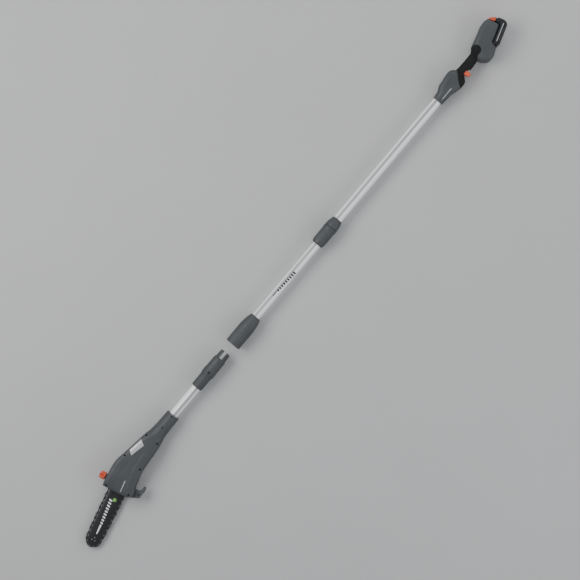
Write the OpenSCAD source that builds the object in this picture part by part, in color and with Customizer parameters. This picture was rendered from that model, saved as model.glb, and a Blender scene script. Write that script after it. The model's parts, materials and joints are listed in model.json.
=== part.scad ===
// Cordless telescoping pole saw, lying on its right side with the saw head drawn out of its socket.
// Millimetres. +X runs along the pole towards the battery, +Y is the tool's top and +Z its left side.
// Inside the modules x is measured along the pole from the mouth of the coupling sleeve, and y and z
// from the pole's axis. Head pieces take x as it is when the head is plugged in.

/* [Pole] */
// Outer diameter of the upper tube
outer_tube_d = 30; // [29.9:0.1:30.1]
// Outer diameter of the sliding lower tube
inner_tube_d = 27; // [26.9:0.1:27]
// Wall of the aluminium tubes
tube_wall = 1.2; // [1:0.1:1.2]
// Length of lower tube seen between sleeve and collar
inner_exposed = 323; // [250:1:340]
// Length of upper tube seen between collar and handle
outer_exposed = 525; // [480:5:560]

/* [Saw] */
// How far the bar reaches out of the housing
bar_reach = 208; // [195:1:208]
// Width of the guide bar at its middle
bar_w = 53; // [51:1:54]
// Thickness of the guide bar
bar_thick = 4; // [3.6:0.2:4]
// Downward tilt of the bar against the pole
bar_tilt = 14; // [12:0.5:15]
// Teeth of the drive sprocket
sprocket_teeth = 6; // [6:1:7]

/* [Head] */
// How far the head stands out of its socket at rest
head_out = 130; // [120:5:140]
// Diameter of the oil cap's flange
cap_d = 28; // [26:1:30]
// Diameter of the motor can
motor_d = 37; // [35:1:37]

/* [Handle] */
// Width of the rubber grip across the hand
grip_w = 32; // [30:1:34]
// Tilt of the battery against the pole
battery_tilt = 18.4; // [17:0.2:20]
// Width of the battery, which sets the height of the pole's axis
battery_w = 80; // [78:1:80]

/* [Hidden] */
$fn = 64;

// Colours
grey = [0.29, 0.31, 0.32];
black = [0.09, 0.09, 0.10];
dark = [0.16, 0.16, 0.17];
orange = [0.80, 0.26, 0.15];
alloy = [0.80, 0.80, 0.82];
steel = [0.58, 0.59, 0.61];
brass = [0.72, 0.58, 0.30];
copper = [0.70, 0.40, 0.22];
board_green = [0.10, 0.34, 0.20];
cloudy = [0.80, 0.80, 0.74];
blue = [0.16, 0.30, 0.52];

// Frame
axis_h = battery_w / 2;
nose_x = -717;
battery_end_x = 1432;
mid_x = (nose_x - head_out + battery_end_x) / 2;
mid_y = -15.7;
e = 1;
fit = 0.05;
gap = 0.3;

// Stations along the pole
sleeve_end = 123;
collar_x = sleeve_end + inner_exposed;
nut_l = 72;
collar_l = 109;
handle_x = collar_x + collar_l + outer_exposed;
outer_tube_end = handle_x + 45;
inner_tube_x = 101;
inner_tube_end = 804;
ro = outer_tube_d / 2;
ri = inner_tube_d / 2;
ro_in = ro - tube_wall;
ri_in = ri - tube_wall;

// Coupling
socket_r = 24.7;
socket_bore_r = 22.9;
spigot_r = 22.5;
ring_r = 23.5;
fork_r = 19;
fork_slot = 10;

// Saw drive
drive = [-437, -4];
bar_z = -24;
bar_dir = 180 + bar_tilt;
shaft_r = 4;
bar_s0 = 24;
nose_r = 22.5;
bar_end_s = 75 + bar_reach - 5;
nose_s = bar_end_s - nose_r;
chain_grow = 8.6;
chain_back_r = 19.6;
chain_back_out = 25.6;
motor_z = 4.2;
crown_teeth = 40;
pinion_teeth = 8;
pad_z = bar_z + bar_thick / 2 + fit;
stud_s = 52;
tension_t = 15;
tension_z = -10;

// Battery frame: a runs rearwards and up along the slide, b away from the cells
battery_at = [1345, -30];

// ---------------------------------------------------------------- placing

module lay() translate([-mid_x, -mid_y, axis_h]) children();
module lay_head() lay() translate([-head_out, 0, 0]) children();
module at_drive() translate([drive[0], drive[1], 0]) children();
module along_bar() at_drive() rotate([0, 0, bar_dir]) children();
module at_battery() translate([battery_at[0], battery_at[1], 0]) rotate([0, 0, battery_tilt]) children();

// ---------------------------------------------------------------- shapes

// Solid rod along +X
module rod_x(x0, x1, r) translate([x0, 0, 0]) rotate([0, 90, 0]) cylinder(h = x1 - x0, r = r);

// Tube along +X
module tube_x(x0, x1, r_out, r_in) difference() {
    rod_x(x0, x1, r_out);
    rod_x(x0 - e, x1 + e, r_in);
}

// Solid of revolution about the X axis from points [x, r]
module turned_x(points) rotate([90, 0, 90]) rotate_extrude($fn = 96) {
    polygon([for (p = points) [p[1], p[0]]]);
}

// Plate from an outline, between two heights
module slab(z0, z1) translate([0, 0, z0]) linear_extrude(z1 - z0) children();

// Outline grown (or shrunk) by d and then rounded by r
module grown(d, r = 2) offset(r = r) offset(delta = d - r) children();

// Box between two corners
module box(a, b) translate(a) cube(b - a);

// Tube of radius r swept along points, as one closed mesh
function unit(v) = v / norm(v);
function tangent(p, i) = unit(p[min(i + 1, len(p) - 1)] - p[max(i - 1, 0)]);
function side_of(t) = unit(cross(t, abs(t[2]) < 0.9 ? [0, 0, 1] : [0, 1, 0]));
function ring(p, i, r, n) = let (t = tangent(p, i), s = side_of(t), u = cross(s, t))
    [for (k = [0 : n - 1]) p[i] + r * (s * cos(360 * k / n) + u * sin(360 * k / n))];
module swept(p, r, n = 10) {
    count = len(p);
    polyhedron(
        points = [for (i = [0 : count - 1]) each ring(p, i, r, n)],
        faces = [
            [for (k = [0 : n - 1]) k],
            for (i = [0 : count - 2], k = [0 : n - 1])
                [i * n + k, (i + 1) * n + k, (i + 1) * n + (k + 1) % n, i * n + (k + 1) % n],
            [for (k = [n - 1 : -1 : 0]) (count - 1) * n + k]
        ]
    );
}

// Points eased between hand-picked ones, for bends without kinks
function eased(p, steps = 4) = [
    for (i = [0 : len(p) - 2], k = [0 : steps - 1]) let (
        t = k / steps, a = p[max(i - 1, 0)], b = p[i], c = p[i + 1], d = p[min(i + 2, len(p) - 1)]
    ) 0.5 * (2 * b + (c - a) * t + (2 * a - 5 * b + 4 * c - d) * t * t + (3 * b - a - 3 * c + d) * t * t * t),
    p[len(p) - 1]
];

// Points of an arc
function arc(c, r, a0, a1, n) = [for (k = [0 : n]) let (a = a0 + (a1 - a0) * k / n) c + r * [cos(a), sin(a)]];

// ---------------------------------------------------------------- pole, outer half

module outer_tube() color(alloy) lay() tube_x(collar_x + 24, outer_tube_end, ro, ro_in);

module collar_body() color(grey) lay() difference() {
    union() {
        rod_x(collar_x + 26, collar_x + nut_l + 4, 18.4);
        turned_x([
            [collar_x + nut_l + 1, 0], [collar_x + nut_l + 1, 24.2], [collar_x + nut_l + 3, 24.6],
            [collar_x + 92, 22.5], [collar_x + 104, 19], [collar_x + collar_l, 17], [collar_x + collar_l, 0]
        ]);
    }
    rod_x(collar_x, collar_x + collar_l + e, ro + fit);
}

// Split cone that the collar squeezes onto the inner tube
module clamp_collet() color(cloudy) lay() difference() {
    turned_x([
        [collar_x + 6, ri + gap], [collar_x + 6, 16.2], [collar_x + 18, 18.2], [collar_x + 23.9, 18.2],
        [collar_x + 23.9, ri + gap]
    ]);
    for (a = [0, 60, 120]) rotate([a, 0, 0]) box([collar_x + 5, -30, -1], [collar_x + 20, 30, 1]);
}

module locking_collar() color(grey) lay() difference() {
    turned_x([
        [collar_x, ri + 0.9], [collar_x, 20.5], [collar_x + 3, 22], [collar_x + 12, 23.6], [collar_x + 58, 23.6],
        [collar_x + 64, 25], [collar_x + nut_l, 24.4], [collar_x + nut_l, 18.8], [collar_x + 5, 18.8],
        [collar_x + 5, ri + 0.9]
    ]);
    for (k = [0 : 11]) rotate([30 * k + 8, 0, 0]) box([collar_x + 16, 22.7, -2], [collar_x + 54, 26, 2]);
}

// ---------------------------------------------------------------- pole, inner half

module inner_tube() color(alloy) lay() tube_x(inner_tube_x, inner_tube_end, ri, ri_in);

module inner_tube_bush() color(black) lay() difference() {
    union() {
        rod_x(inner_tube_end, inner_tube_end + 10, ro_in - fit);
        rod_x(inner_tube_end - 22, inner_tube_end + 1, ri_in - fit);
    }
    rod_x(inner_tube_end - 23, inner_tube_end + 11, 10.4);
}

// Cup on the lower end of the pole that takes the head's spigot
module pole_socket() color(black) lay() difference() {
    union() {
        rod_x(20, 85.7, socket_r);
        rod_x(85, 100.6, 21.8);
        rod_x(100, 112, 18.4);
    }
    rod_x(19, 68, socket_bore_r);
    rod_x(67, 96, fork_r + 0.6);
    rod_x(95, 101, 8.5);
    rod_x(101, 113, ri + fit);
}

// Contact blade that the fork closes over
module socket_contacts() color(brass) lay() {
    box([78, -3.8, -14], [95.9, 3.8, 14]);
    for (z = [-9, 9]) box([70, -3, z - 3], [79, 3, z + 3]);
}

module coil_cord() color(black) lay() rod_x(96, handle_x + 63.9, 8);

module coupling_sleeve() color(grey) lay() difference() {
    turned_x([
        [0, 23.9], [0, 26.6], [1.5, 27.4], [77, 27.4], [98, 25], [112, 22.2], [118, 20.5],
        [sleeve_end - 1, 17.6], [sleeve_end, 16.4], [sleeve_end, ri + 0.4], [113, ri + 0.4], [113, 18.8],
        [101, 18.8], [101, 22.1], [86, 22.1], [86, socket_r + 0.4], [19, socket_r + 0.4], [19, 23.9]
    ]);
    for (k = [0 : 15]) rotate([22.5 * k + 8, 0, 0]) box([16, 26.7, -1.6], [72, 30, 1.6]);
}

// ---------------------------------------------------------------- head, joint to the pole

module head_spigot() color(grey) lay_head() difference() {
    union() {
        turned_x([
            [-61, 0], [-61, 18.4], [-58, 20.4], [-12, 20.4], [-3.4, 22.2], [-3.4, ring_r - 0.5], [-2, ring_r],
            [3, ring_r], [4, 22.6], [6, 22.6], [7, ring_r], [15.6, ring_r], [17, spigot_r], [62.5, spigot_r],
            [64.6, spigot_r - 2], [66, 0]
        ]);
        rod_x(60, 94, fork_r);
    }
    box([65, -fork_slot / 2, -30], [100, fork_slot / 2, 30]);
    rod_x(-62, -20, ro + fit);
    rod_x(-25, 58, 6.4);
    rod_x(57, 66, 8);
    translate([5, 0, 12]) cylinder(h = 12, r = 2.6);
    translate([5, 0, 19]) cylinder(h = 8, r = 4.6);
}

// Contact carrier in the root of the fork
module spigot_contacts() color(brass) lay_head() {
    rod_x(46, 57, 6.3);
    rod_x(57, 64.8, 7.8);
}

module spigot_screw() color(steel) lay_head() translate([5, 0, 0]) difference() {
    union() {
        translate([0, 0, 13]) cylinder(h = 7, r = 2.5);
        translate([0, 0, 19.05]) cylinder(h = 2.6, r = 4.4);
    }
    translate([0, 0, 20.4]) cylinder(h = 3, r = 2, $fn = 6);
}

module head_tube() color(alloy) lay_head() tube_x(-236, -20.1, ro, ro_in);

module head_cable() color(black) lay_head() rod_x(-300, 45.9, 3.6);

// ---------------------------------------------------------------- head housing

// Side outline of the head, without the hook
module head_outline() polygon([
    [-262, -27.5], [-282, -32.5], [-316, -37], [-367, -41], [-401, -45], [-425, -52.5], [-449, -60],
    [-461, -66], [-474, -72], [-484, -73], [-494, -68], [-500.5, -60], [-504, -50], [-510, -27], [-517, 7],
    [-523.5, 26], [-521, 31], [-503, 36], [-470, 42.5], [-449, 47], [-425, 50], [-401, 47], [-371, 42.5],
    [-309, 35], [-286, 32], [-272, 27.5], [-262, 27.5]
]);

// Branch hook under the front of the head
module hook_outline() offset(r = 3) offset(delta = -3) polygon([
    [-494, -60], [-482.8, -81.6], [-472.6, -95], [-440, -93.7], [-432, -90], [-432, -83.5], [-437, -81.5],
    [-452, -81], [-457.3, -76.5], [-457.3, -58], [-470, -50]
]);

// The deeper part of the head, behind the drive's cover
module rear_outline() intersection() {
    head_outline();
    polygon([[-391, -60], [-391, 70], [-200, 70], [-200, -60]]);
}

module head_outer() {
    slab(-16, 24) head_outline();
    slab(-24, 0) rear_outline();
    slab(-30, 0) intersection() { grown(-3, 3) head_outline(); rear_outline(); }
    slab(20, 28) grown(-2, 4) head_outline();
    slab(27, 32) grown(-6, 5) head_outline();
    slab(-10, 12) hook_outline();
    turned_x([[-290, 0], [-290, 27], [-262, 27], [-240, 25.4], [-182, 24.2], [-178.5, 22.6], [-178.5, 0]]);
}

// Room inside the head
module head_inner() {
    slab(-13.5, 21) grown(-2.5, 2) head_outline();
    slab(-27.5, 0) grown(-6, 3) rear_outline();
    slab(20, 29.5) grown(-9, 4) head_outline();
}

head_screw_at = [
    [-510, 20], [-391, 37], [-292, 24.5], [-291, -22], [-394, -33.5], [-486, -58.5]
];
function screw_floor(p) = p[0] > -391 ? -22 : -10;

module head_posts() for (p = head_screw_at) translate([p[0], p[1], screw_floor(p) - 6])
    cylinder(h = 56, r = 4.2, $fn = 32);

module head_bores() {
    for (p = head_screw_at) translate([p[0], p[1], 0]) {
        translate([0, 0, screw_floor(p) + 1]) cylinder(h = 80, r = 1.6, $fn = 32);
        translate([0, 0, 12]) cylinder(h = 30, r = 3.4, $fn = 32);
    }
    translate([-466, -85, -7]) cylinder(h = 30, r = 1.6, $fn = 32);
    translate([-466, -85, 6]) cylinder(h = 30, r = 3.4, $fn = 32);
    for (x = [-238, -190]) translate([x, 0, 15.3]) {
        cylinder(h = 30, r = 1.6, $fn = 32);
        translate([0, 0, 5]) cylinder(h = 30, r = 3.4, $fn = 32);
    }
    rod_x(-237, -178, ro + fit);
    rod_x(-300, -230, 8);
    at_cap() translate([0, 0, -20]) cylinder(h = 40, r = 10.4);
}

module head_shell(left) intersection() {
    difference() {
        union() {
            difference() {
                head_outer();
                head_inner();
            }
            intersection() {
                head_posts();
                slab(-29, 30) grown(-1, 1) head_outline();
            }
        }
        head_bores();
    }
    if (left) box([-600, -120, 0.05], [-100, 100, 60]);
    else box([-600, -120, -60], [-100, 100, -0.05]);
}

module head_shell_left() color(grey) lay_head() difference() {
    head_shell(true);
    slab(31.2, 40) side_plate_outline();
}

module head_shell_right() color(grey) lay_head() difference() {
    union() {
        head_shell(false);
        // Pad that the bar is clamped against
        intersection() {
            along_bar() box([36, -11, pad_z], [64, 11, -13.6]);
            slab(-30, 0) head_outline();
        }
    }
    // Hole for the drive shaft and its lower bearing
    at_drive() translate([0, 0, -20]) cylinder(h = 12, r = 10.2);
    along_bar() {
        translate([stud_s, 0, -30]) cylinder(h = 20, r = shaft_r + fit);
        // Window for the tension block and bore for its screw
        box([41, tension_t - 4.2, -20], [61, tension_t + 4.2, -13]);
        translate([0, tension_t, tension_z]) rod_x(60, 100, 3.6);
    }
}

module side_plate_outline() polygon([[-367, 36], [-312, 29], [-324, 9], [-377, 20]]);

module side_plate() color(alloy) lay_head() slab(31.25, 33) offset(r = 2) offset(delta = -2.1) side_plate_outline();

module one_screw(p, z0, z1, head_h = 3) translate([p[0], p[1], 0]) {
    translate([0, 0, z0]) cylinder(h = z1 - z0, r = 1.5, $fn = 32);
    translate([0, 0, z1 - 0.01]) difference() {
        cylinder(h = head_h, r = 3.2, $fn = 32);
        translate([0, 0, head_h - 1.8]) cylinder(h = 4, r = 1.4, $fn = 6);
    }
}

module head_screws() color(steel) lay_head() {
    for (p = head_screw_at) one_screw(p, screw_floor(p) + 1.2, 12.06);
    one_screw([-466, -85], -6.8, 6.06);
    for (x = [-238, -190]) one_screw([x, 0], 15.4, 20.36);
}

// ---------------------------------------------------------------- motor and gears

module motor_can() color(steel) lay_head() translate([0, drive[1], motor_z]) difference() {
    union() {
        rod_x(-380, -320, motor_d / 2);
        rod_x(-384, -379, 6.5);
    }
    rod_x(-378.5, -321.5, motor_d / 2 - 1.5);
    rod_x(-385, -378, 2.6);
}

module motor_shaft() color(steel) lay_head() translate([0, drive[1], motor_z]) {
    rod_x(-411, -322, 2.5);
    difference() {
        translate([-420.2, 0, 0]) rotate([0, 90, 0]) linear_extrude(9.4) pinion_outline();
        rod_x(-421, -419, 1.5);
    }
}

// Eight straight teeth, one of them pointing down into the crown gear
module pinion_outline() {
    circle(r = 3.1);
    for (k = [0 : pinion_teeth - 1]) rotate([0, 0, 360 * k / pinion_teeth])
        polygon([[2.6, -0.75], [4.2, -0.6], [4.9, -0.35], [4.9, 0.35], [4.2, 0.6], [2.6, 0.75]]);
}

module rotor_core() color(copper) lay_head() translate([0, drive[1], motor_z]) difference() {
    union() {
        rod_x(-368, -338, 15);
        rod_x(-336, -328, 9);
        rod_x(-339, -335, 7);
    }
    for (k = [0 : 4]) rotate([72 * k, 0, 0]) box([-369, 11, -1.2], [-337, 16, 1.2]);
    rod_x(-369, -327, 2.5 + fit);
}

module gear_housing() color(alloy) lay_head() at_drive() difference() {
    translate([0, 0, -12.9]) cylinder(h = 30.9, r = 27);
    translate([0, 0, -9.9]) cylinder(h = 18.9, r = 25);
    translate([0, 0, -13.5]) cylinder(h = 5, r = 9.1);
    translate([0, 0, 8]) cylinder(h = 8, r = 8.1);
    translate([0, 0, 15]) cylinder(h = 4, r = 5);
    translate([0, 0, 12]) difference() {
        cylinder(h = 7, r = 30);
        translate([0, 0, -1]) cylinder(h = 9, r = 11);
    }
    // Window through which the pinion reaches the crown gear
    translate([0, 0, motor_z]) rod_x(10, 40, 6);
}

module shaft_bearings() color(steel) lay_head() at_drive() {
    for (b = [[-13.2, -8.2, 9.05], [9.5, 14.5, 8.05]]) translate([0, 0, b[0]]) difference() {
        cylinder(h = b[1] - b[0], r = b[2]);
        translate([0, 0, -e]) cylinder(h = 10, r = shaft_r + fit);
    }
}

module drive_shaft() color(steel) lay_head() at_drive() {
    translate([0, 0, -34]) cylinder(h = 49, r = shaft_r);
    translate([0, 0, -19.3]) cylinder(h = 2, r = 7);
}

// Face gear with straight radial teeth, a gap of it facing the motor
module crown_gear() color(steel) lay_head() at_drive() difference() {
    union() {
        translate([0, 0, -7]) cylinder(h = 5.6, r = 24);
        translate([0, 0, -1.5]) cylinder(h = 5, r = 8);
        for (k = [0 : crown_teeth - 1]) rotate([0, 0, 360 * (k + 0.5) / crown_teeth])
            box([17.5, -0.52, -2], [23.9, 0.52, 0.45]);
    }
    translate([0, 0, -8]) cylinder(h = 14, r = shaft_r + fit);
}

module drive_sprocket() color(steel) lay_head() at_drive() difference() {
    union() {
        translate([0, 0, bar_z - 1.5]) linear_extrude(3) sprocket_outline(15.5, 10.5, sprocket_teeth);
        translate([0, 0, bar_z - 5]) cylinder(h = 8.4, r = 8.6);
    }
    translate([0, 0, bar_z - 6]) cylinder(h = 12, r = shaft_r + fit);
}

module sprocket_outline(tip_r, root_r, teeth) {
    circle(r = root_r);
    for (k = [0 : teeth - 1]) rotate([0, 0, 360 * k / teeth])
        polygon([[root_r - 1, -0.26 * root_r], [tip_r, -0.09 * root_r], [tip_r, 0.09 * root_r],
            [root_r - 1, 0.26 * root_r]]);
}

// ---------------------------------------------------------------- oiling

module tank_outline() polygon([[-502, -22], [-503.5, 10], [-501, 24], [-469, 24], [-469, -22]]);

module at_cap() translate([-490, 40, 6]) rotate([-90, 0, 12]) children();

module oil_tank() color(cloudy) lay_head() difference() {
    union() {
        slab(-9.8, 20.5) tank_outline();
        at_cap() translate([0, 0, -18]) cylinder(h = 18, r = 10);
    }
    slab(-8.3, 19) offset(delta = -1.5) tank_outline();
    at_cap() translate([0, 0, -19]) cylinder(h = 21, r = 8);
}

module oil_cap() color(orange) lay_head() at_cap() difference() {
    union() {
        translate([0, 0, 2.2]) cylinder(h = 6, r = cap_d / 2);
        translate([0, 0, 8]) linear_extrude(13) for (a = [0, 60, 120]) rotate([0, 0, a])
            square([cap_d - 3, 6.4], center = true);
        translate([0, 0, 8]) cylinder(h = 15, r = 7);
        translate([0, 0, -8]) cylinder(h = 11, r = 7.6);
    }
    translate([0, 0, -9]) cylinder(h = 9, r = 5.6);
}

module oil_cap_seal() color(black) lay_head() at_cap() translate([0, 0, 0.3]) difference() {
    cylinder(h = 1.6, r = 10.2);
    translate([0, 0, -e]) cylinder(h = 4, r = 7.8);
}

module oil_pump() color(dark) lay_head() difference() {
    union() {
        box([-468, -54, -11], [-446, -36, 4]);
        translate([-457, -45, 4]) cylinder(h = 5, r = 6);
    }
    translate([-457, -45, 1]) cylinder(h = 9, r = 3);
}

oil_route = [[-468.9, -17, 0], [-465.5, -18, 0], [-465, -24, 0], [-462, -30, 0], [-461, -36, 0]];
module oil_line() color(cloudy) lay_head() swept(eased(oil_route, 4), 1.6, 8);

// ---------------------------------------------------------------- bar and chain

// Half of the bar's side, from root to nose; the bar bellies out a little
function bar_half(s) = nose_r + (bar_w / 2 - nose_r) * sin(90 * pow(max(0, (nose_s - s) / (nose_s - 30)), 0.6));
bar_stations = [for (k = [0 : 12]) 36 + (nose_s - 36) * k / 12];
function bar_side(sign, grow) = [for (s = bar_stations) [s, sign * (bar_half(s) + grow)]];
function bar_loop(grow) = concat(
    bar_side(-1, grow),
    arc([nose_s, 0], nose_r + grow, -80, 80, 20),
    [for (k = [len(bar_stations) - 1 : -1 : 0]) [bar_stations[k], bar_half(bar_stations[k]) + grow]]
);

module bar_outline() polygon(concat(
    [[bar_s0, 17], [bar_s0, -17], [28, -22]], bar_loop(0), [[28, 22]]
));

module guide_bar() color(black) lay_head() along_bar() difference() {
    translate([0, 0, bar_z - bar_thick / 2]) linear_extrude(bar_thick) bar_outline();
    // Slot over the stud, holes for the tension block, pocket for the nose sprocket
    translate([0, 0, bar_z - 5]) {
        linear_extrude(10) {
            hull() {
                translate([stud_s - 10, 0]) circle(r = shaft_r + 0.4);
                translate([stud_s + 10, 0]) circle(r = shaft_r + 0.4);
            }
        }
        translate([51, tension_t, 0]) cylinder(h = 10, r = 2.6);
        translate([51, -tension_t, 0]) cylinder(h = 10, r = 2.6);
    }
    translate([0, 0, bar_z - 0.8]) linear_extrude(1.6) nose_pocket();
}

// Room between the bar's two cheeks for the nose sprocket
module nose_pocket() difference() {
    translate([nose_s - nose_r, -40]) square([80, 80]);
    translate([nose_s, 0]) circle(r = 5);
}

// One closed loop, with a cutter on every other link
module chain_loop(grow, back) polygon(concat(
    bar_loop(grow), arc([0, 0], back, 72, 288, 24)
));

module saw_chain() color(steel) lay_head() along_bar() difference() {
    union() {
        translate([0, 0, bar_z - 3]) linear_extrude(6) chain_loop(chain_grow - 1.6, chain_back_out - 1.6);
        translate([0, 0, bar_z - 3]) linear_extrude(6) chain_teeth();
    }
    translate([0, 0, bar_z - 4]) linear_extrude(8) chain_loop(0.05, chain_back_r);
}

// Cutter tips along both runs of the loop
tooth_pitch = 18.6;
module chain_teeth() for (sign = [-1, 1], k = [0 : 12]) let (s = 42 + tooth_pitch * k) if (s < nose_s)
    let (t = bar_half(s) + chain_grow - 3)
    translate([s, sign * t]) scale([sign, sign]) polygon([[-5, 0], [-5, 3], [3.5, 2.4], [5.5, 0]]);

module nose_sprocket() color(steel) lay_head() along_bar() translate([nose_s, 0, bar_z - 0.6]) difference() {
    linear_extrude(1.2) sprocket_outline(nose_r - 0.6, nose_r - 6, 11);
    translate([0, 0, -e]) cylinder(h = 4, r = 5.08);
}

module bar_stud() color(steel) lay_head() along_bar() {
    translate([stud_s, 0, -38.5]) cylinder(h = 26, r = shaft_r);
    translate([stud_s, 0, -13.4]) cylinder(h = 3, r = 7, $fn = 6);
}

module bar_nut() color(steel) lay_head() along_bar() translate([stud_s, 0, -38.4]) difference() {
    union() {
        cylinder(h = 6.4, r = 7.5, $fn = 6);
        translate([0, 0, 5.6]) cylinder(h = 1.7, r = 9);
    }
    translate([0, 0, -e]) cylinder(h = 10, r = shaft_r + 0.08);
}

// Slider with the pin that pushes the bar out
module tension_block() color(steel) lay_head() along_bar() difference() {
    union() {
        box([47, tension_t - 3.8, -13.2], [55, tension_t + 3.8, -5.6]);
        translate([51, tension_t, -27.5]) cylinder(h = 15, r = 2.5);
    }
    translate([0, tension_t, tension_z]) rod_x(46, 56, 2.08);
}

module tension_screw() color(steel) lay_head() along_bar() translate([0, tension_t, tension_z]) difference() {
    union() {
        rod_x(42, 70, 2);
        rod_x(69, 73, 3.2);
    }
    box([71.5, -0.5, -4], [74, 0.5, 4]);
}

// Toothed plate along the front edge, which bites into the branch
bumper_a = [-517, 6];
bumper_b = [-504.5, -48.5];
module bumper_teeth() color(dark) lay_head() slab(-18.1, -16.1) {
    polygon([bumper_a, bumper_b, [-499, -46], [-507, 8]]);
    for (k = [0 : 4]) translate(bumper_a + (bumper_b - bumper_a) * (k + 0.5) / 5)
        rotate([0, 0, 180 + atan2(bumper_b[0] - bumper_a[0], bumper_a[1] - bumper_b[1])])
            polygon([[-1, -4.4], [2.6, -3.2], [4.8, -1.2], [4.8, 1.2], [2.6, 3.2], [-1, 4.4]]);
}

module chain_catcher() color(alloy) lay_head() along_bar() box([48, 39.5, -28], [58, 44.5, -16.1]);

// Cover over sprocket, chain and bar root; its flat face is what the head lies on
module cover_outline() polygon([
    [-394, -43], [-394, 42], [-425, 45], [-449, 42], [-470, 38], [-503, 31], [-516, 27], [-511, -2],
    [-504, -34], [-498, -58], [-484, -66], [-474, -66], [-449, -57], [-425, -49.5]
]);

module cover_mouth() along_bar() box([40, -39, -31], [140, 39, -16]);

module sprocket_cover() color(grey) lay_head() difference() {
    union() {
        difference() {
            union() {
                slab(-38, -16.1) cover_outline();
                slab(-axis_h, -35) grown(-3, 3) cover_outline();
            }
            slab(-36.5, -15) grown(-2.5, 2) cover_outline();
            cover_mouth();
        }
        along_bar() translate([stud_s, 0, -37]) cylinder(h = 10.9, r = 15);
        at_drive() translate([36, 26, -37]) cylinder(h = 20.8, r = 4.5);
    }
    along_bar() translate([stud_s, 0, 0]) {
        translate([0, 0, -axis_h - e]) cylinder(h = axis_h - 31 + e, r = 11.5);
        translate([0, 0, -38]) cylinder(h = 14, r = shaft_r + 0.5);
    }
    along_bar() translate([51, tension_t, -30]) hull() {
        cylinder(h = 6, r = 3.4);
        translate([8, 0, 0]) cylinder(h = 6, r = 3.4);
    }
    at_drive() translate([36, 26, -30]) cylinder(h = 20, r = 1.6);
}

// ---------------------------------------------------------------- handle

module front_outline() polygon([
    [handle_x, -20.4], [handle_x, 18], [1104, 20], [1118, 27], [1128, 31], [1148, 32.5], [1158, 35],
    [1186, 35], [1195, 27], [1204, 18], [1204, -2], [1201, -14], [1197, -22], [1190, -29], [1180, -32],
    [1162, -32], [1141, -27], [1128, -22.4]
]);

module grip_outline() polygon([
    [1190, -2], [1196, 17.5], [1276, 17.5], [1290, 24], [1300, 26], [1308, 20], [1310, 8], [1300, -2],
    [1284, -14.5], [1238, -14], [1230, -10], [1222, -2]
]);

module rear_handle_outline() polygon([
    [1269, -15], [1276, -27], [1284, -39], [1291, -46], [1300, -49], [1311, -49], [1325, -44.5],
    [1336, -38.5], [1342, -34.5], [1345.5, -29], [1343, -18], [1360, -12.2], [1409.5, 4.2], [1411, 10],
    [1404.8, 32], [1401.5, 44], [1399.8, 50], [1396, 53], [1372, 53], [1352, 46], [1328, 39],
    [1308, 34], [1294, 29.5], [1286, 22], [1282, 4]
]);

front_half = 27;
rear_half = 36;
grip_half = grip_w / 2;

module handle_outer() {
    slab(-front_half + 7, front_half - 7) front_outline();
    slab(-front_half, front_half) grown(-4, 5) front_outline();
    slab(-grip_half + 2.6, grip_half - 2.6) offset(delta = -2.6) grip_outline();
    slab(-rear_half + 7, rear_half - 7) rear_handle_outline();
    slab(-rear_half, rear_half) grown(-4, 5) rear_handle_outline();
}

module handle_inner() {
    slab(-front_half + 2.5, front_half - 2.5) grown(-6.5, 3) front_outline();
    slab(-grip_half + 5, grip_half - 5) offset(delta = -5) grip_outline();
    slab(-rear_half + 2.5, rear_half - 2.5) grown(-7.5, 3) rear_handle_outline();
    slab(-11, 11) polygon([[1180, 2], [1180, 13.6], [1320, 13.6], [1320, 2]]);
}

handle_screw_at = [[1138, -19.5], [1150, 24], [1180, -24], [1300, -38], [1330, 30], [1380, 41]];

module trigger_room() {
    slab(-12.4, 12.4) polygon([[1202.5, 9.6], [1202.5, -40], [1244, -40], [1236, -12], [1229, 9.6]]);
    slab(-30, 30) polygon([[1202.5, -1.5], [1202.5, -40], [1236, -40], [1232, -14], [1229, -1.5]]);
}

module handle_shell(left) intersection() {
    difference() {
        union() {
            difference() {
                handle_outer();
                handle_inner();
            }
            intersection() {
                for (p = handle_screw_at) translate([p[0], p[1], -40]) cylinder(h = 80, r = 3.8, $fn = 32);
                handle_outer();
            }
            intersection() {
                rod_x(handle_x, 1142, 20);
                handle_outer();
            }
            // Seat of the trigger's spring
            box([1232.6, -9, -13], [1236, 2.5, 13]);
        }
        // The screws go in from the right side
        mirror([0, 0, 1]) for (p = handle_screw_at) translate([p[0], p[1], 0]) {
            translate([0, 0, -14]) cylinder(h = 60, r = 1.6, $fn = 32);
            translate([0, 0, 10]) cylinder(h = 40, r = 3.3, $fn = 32);
        }
        rod_x(handle_x - e, outer_tube_end + 0.3, ro + fit);
        rod_x(outer_tube_end - e, 1160, 9);
        trigger_room();
        // Pin of the trigger
        translate([1208, 3, -9]) cylinder(h = 18, r = 2.05);
        // Grooves for the battery's rails, notch for its latch, slots for the terminals
        at_battery() {
            for (z = [-24, 24]) box([5, 11, z - 2], [90, 15.2, z + 2]);
            box([60, 36.5, -11], [90, 48, 11]);
            box([6, 8, -13], [34, 22, 13]);
        }
        // Bore of the lock-off button
        translate([1176, 10, -40]) cylinder(h = 18, r = 6.4);
    }
    if (left) box([1000, -100, 0.05], [1500, 100, 60]);
    else box([1000, -100, -60], [1500, 100, -0.05]);
}

module handle_shell_left() color(grey) lay() handle_shell(true);
module handle_shell_right() color(grey) lay() handle_shell(false);

module handle_screws() color(steel) lay() mirror([0, 0, 1])
    for (p = handle_screw_at) one_screw(p, -13.8, 10.06);

// Soft skin round the hand hold
module grip_skin_outline() difference() {
    grip_outline();
    front_outline();
    rear_handle_outline();
}

module grip_overmould() color(black) lay() difference() {
    slab(-grip_half, grip_half) grip_skin_outline();
    slab(-grip_half + 2.5, grip_half - 2.5) offset(delta = -2.5) grip_outline();
    trigger_room();
}

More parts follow.
